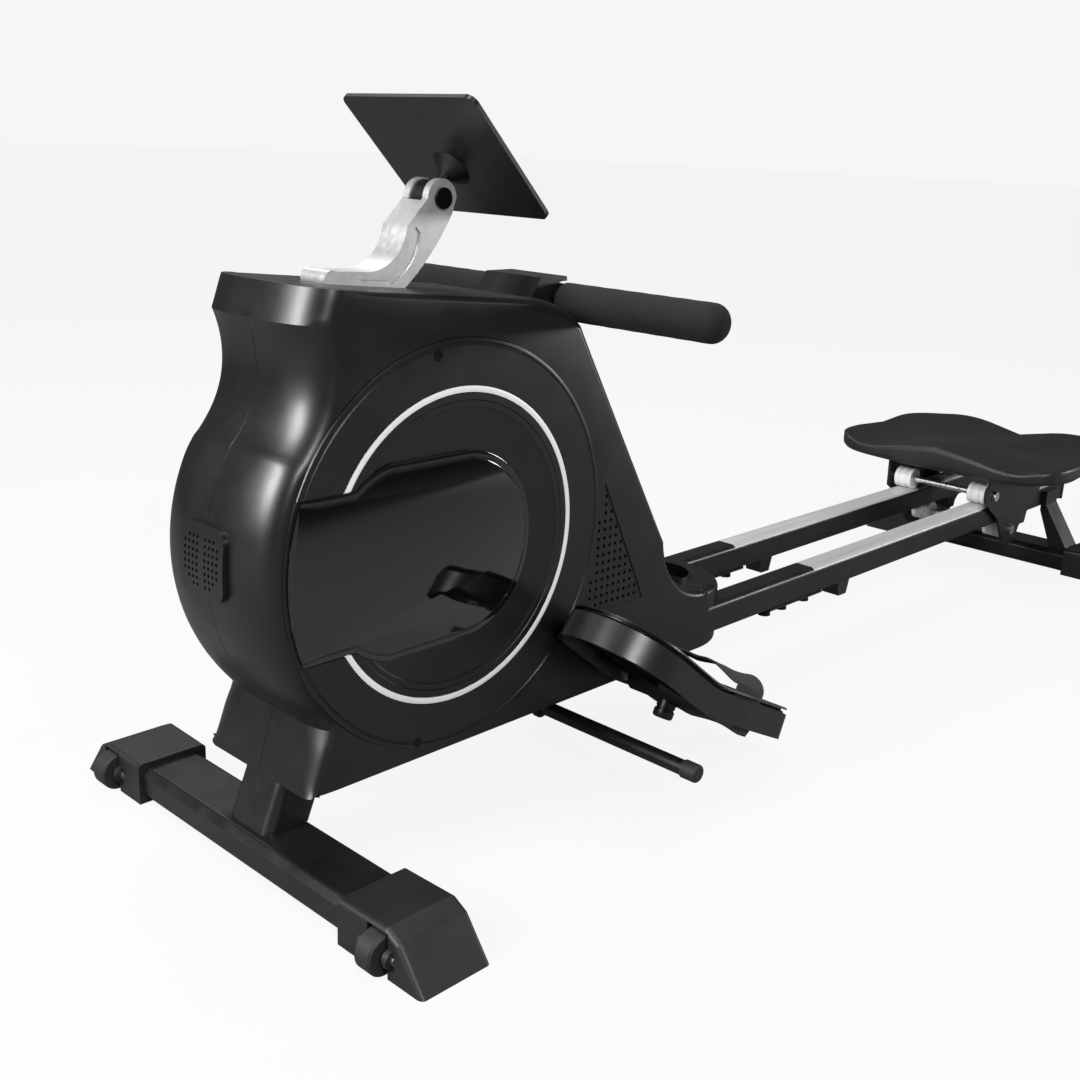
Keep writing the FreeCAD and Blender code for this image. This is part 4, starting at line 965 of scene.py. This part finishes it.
def seat_height(u, v):
    """Top of the moulded seat in millimetres over its underside.

    u runs from -1 at the front to 1 at the rear, and v from -1 to 1 across."""
    front = max(0.0, min(1.0, (0.55 - u) / 1.3))
    rear = max(0.0, min(1.0, (u + 0.1) / 1.0)) ** 1.6
    horn = 12.5 * front * bell(v, 0, 0.30)
    thigh = -6.0 * front * bell(abs(v), 0.64, 0.20)
    bowl = -6.5 * bell(u, 0.12, 0.46) * bell(abs(v), 0.42, 0.34)
    wing = 7.0 * max(0.0, abs(v) - 0.72) ** 1.3 / 0.28 ** 1.3 * (1 - 0.4 * rear)
    tail = rear * (9.5 * bell(abs(v), 0.52, 0.34) - 8.0 * bell(v, 0, 0.20))
    return SEAT_THICK + horn + thigh + bowl + wing + tail


def seat_rim(spoke):
    """The seat's outline at one spoke, in u and v."""
    angle = 2 * math.pi * spoke / SEAT_SPOKES
    c, s = math.cos(angle), math.sin(angle)
    u = math.copysign(abs(c) ** CORNER_POWER, c)
    v = math.copysign(abs(s) ** CORNER_POWER, s)
    return u, v * (1 - WAIST * math.exp(-(u / 0.35) ** 2))


def build_seat():
    """The moulded seat: a height over a rounded outline, then a skirt turned in under it."""
    low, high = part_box("seat_pad")
    mid_x, half_x, half_y = (low.x + high.x) / 2, (high.x - low.x) / 2, (high.y - low.y) / 2
    vertices = []

    def add(u, v, z):
        vertices.append((mid_x + u * half_x, v * half_y, low.z + z * MM))

    for i in range(SEAT_RINGS + 1):
        share = i / SEAT_RINGS
        roll = EDGE_ROLL * max(0.0, (share - EDGE_FROM_SHARE) / 0.045) ** 2.4
        for k in range(SEAT_SPOKES):
            u, v = seat_rim(k)
            add(u * share, v * share, seat_height(u * share, v * share) - roll)
    for share, drop in SKIRT:
        for k in range(SEAT_SPOKES):
            u, v = seat_rim(k)
            top = seat_height(u, v)
            lip = -LIP_DROOP * max(0.0, min(1.0, (-u - 0.84) / 0.1)) * bell(v, 0, 0.9)
            add(u * share, v * share, max(lip, top - drop * (top - lip) / SEAT_SKIRT))
    rows = SEAT_RINGS + 1 + len(SKIRT)
    faces = grid_faces(rows, SEAT_SPOKES, wrap_columns=True)
    last = (rows - 1) * SEAT_SPOKES
    faces.append(tuple(range(last + SEAT_SPOKES - 1, last - 1, -1)))
    seat = make_piece("seat_moulded", vertices, faces, "seat_black", "seat_trolley",
                      ("seat_pad",), sharp=70)


build_seat()

# ---- stage, light and camera -----------------------------------------------------------------

FLOOR_HALF = 40
FLOOR_GLOW, FLOOR_RETURN = 0.885, 0.22  # as the camera sees it, as other rays meet it
WORLD_SEEN, WORLD_UNSEEN = 0.92, 0.10
LIGHT_AIM = (-0.45, 0, 0.3)
# Soft boxes: name, place, aim, size in metres, power in watts.
LIGHTS = [
    ("key_front_left", (-3.2, 0.5, 1.7), LIGHT_AIM, (0.8, 1.4), 130),
    ("top_soft", (-0.5, 0.1, 2.8), LIGHT_AIM, (1.6, 0.7), 40),
    ("side_fill", (-1.6, -3.0, 2.3), (-0.3, 0, 0.3), (1.1, 0.7), 95),
    ("back_rim", (0.6, 2.4, 2.6), (0.0, 0, 0.3), (2.0, 0.7), 18),
    ("rear_low", (2.4, -1.8, 0.7), (-0.3, -0.2, 0.1), (0.7, 0.5), 26),
]
# The photo's view: where the camera stands from the front stabilizer, its sides and its lens.
CAMERA_PLACE = (-613.6, -918.8, 647.3)
CAMERA_RIGHT, CAMERA_UP = (0.6957, -0.7171, 0.0394), (0.1835, 0.2305, 0.9555)
SENSOR, LENS = 36, 43.37


def camera_mix(tree, seen, unseen, output, socket):
    """Shows one shader to the camera and another to every other ray."""
    path = tree.nodes.new("ShaderNodeLightPath")
    mix = tree.nodes.new("ShaderNodeMixShader")
    tree.links.new(path.outputs["Is Camera Ray"], mix.inputs[0])
    tree.links.new(unseen, mix.inputs[1])
    tree.links.new(seen, mix.inputs[2])
    tree.links.new(mix.outputs["Shader"], output.inputs[socket])


def build_stage():
    """A pale floor that glows a little for the camera, so that it meets the background."""
    mesh = bpy.data.meshes.new("floor")
    h = FLOOR_HALF
    mesh.from_pydata([(-h, -h, 0), (h, -h, 0), (h, h, 0), (-h, h, 0)], [], [(0, 1, 2, 3)])
    floor = bpy.data.objects.new("floor", mesh)
    bpy.context.scene.collection.objects.link(floor)
    surface = Surface("floor_paper", 0.9)
    surface.colour(surface.noise(3), grey(0.030), grey(0.034))
    surface.bump(surface.noise(300, 2), 0.02, 0.1)
    tree = surface.tree
    glow = tree.nodes.new("ShaderNodeEmission")
    glow.inputs["Color"].default_value = (1, 1, 1, 1)
    glow.inputs["Strength"].default_value = FLOOR_GLOW
    both = tree.nodes.new("ShaderNodeAddShader")
    tree.links.new(surface.shader.outputs["BSDF"], both.inputs[0])
    tree.links.new(glow.outputs["Emission"], both.inputs[1])
    output = tree.nodes["Material Output"]
    pale = tree.nodes.new("ShaderNodeBsdfDiffuse")
    pale.inputs["Color"].default_value = (*grey(FLOOR_RETURN), 1)
    camera_mix(tree, both.outputs["Shader"], pale.outputs["BSDF"], output, "Surface")
    mesh.materials.append(surface.material)


def add_light(name, place, aim, size, power):
    data = bpy.data.lights.new(name, "AREA")
    data.shape = "RECTANGLE"
    data.size, data.size_y = size
    data.energy = power
    obj = bpy.data.objects.new(name, data)
    bpy.context.scene.collection.objects.link(obj)
    obj.location = place
    obj.rotation_mode = "QUATERNION"
    obj.rotation_quaternion = (Vector(aim) - Vector(place)).to_track_quat("-Z", "Y")


def build_light():
    """A pale world and five soft boxes."""
    bpy.context.scene.view_settings.view_transform = "Standard"
    world = bpy.data.worlds.new("studio")
    bpy.context.scene.world = world
    world.use_nodes = True
    tree = world.node_tree
    seen = tree.nodes["Background"]
    seen.inputs["Color"].default_value = (1, 1, 1, 1)
    seen.inputs["Strength"].default_value = WORLD_SEEN
    unseen = tree.nodes.new("ShaderNodeBackground")
    unseen.inputs["Color"].default_value = (1, 1, 1, 1)
    unseen.inputs["Strength"].default_value = WORLD_UNSEEN
    output = tree.nodes["World Output"]
    camera_mix(tree, seen.outputs[0], unseen.outputs[0], output, "Surface")
    for light in LIGHTS:
        add_light(*light)


def build_camera():
    data = bpy.data.cameras.new("camera")
    camera = bpy.data.objects.new("camera", data)
    bpy.context.scene.collection.objects.link(camera)
    right = Vector(CAMERA_RIGHT).normalized()
    back = right.cross(Vector(CAMERA_UP)).normalized()
    turn = Matrix((right, back.cross(right), back)).transposed()
    camera.matrix_world = Matrix.Translation(at(*CAMERA_PLACE)) @ turn.to_4x4()
    data.sensor_width = SENSOR
    data.lens = LENS
    bpy.context.scene.camera = camera


build_stage()
build_light()
build_camera()
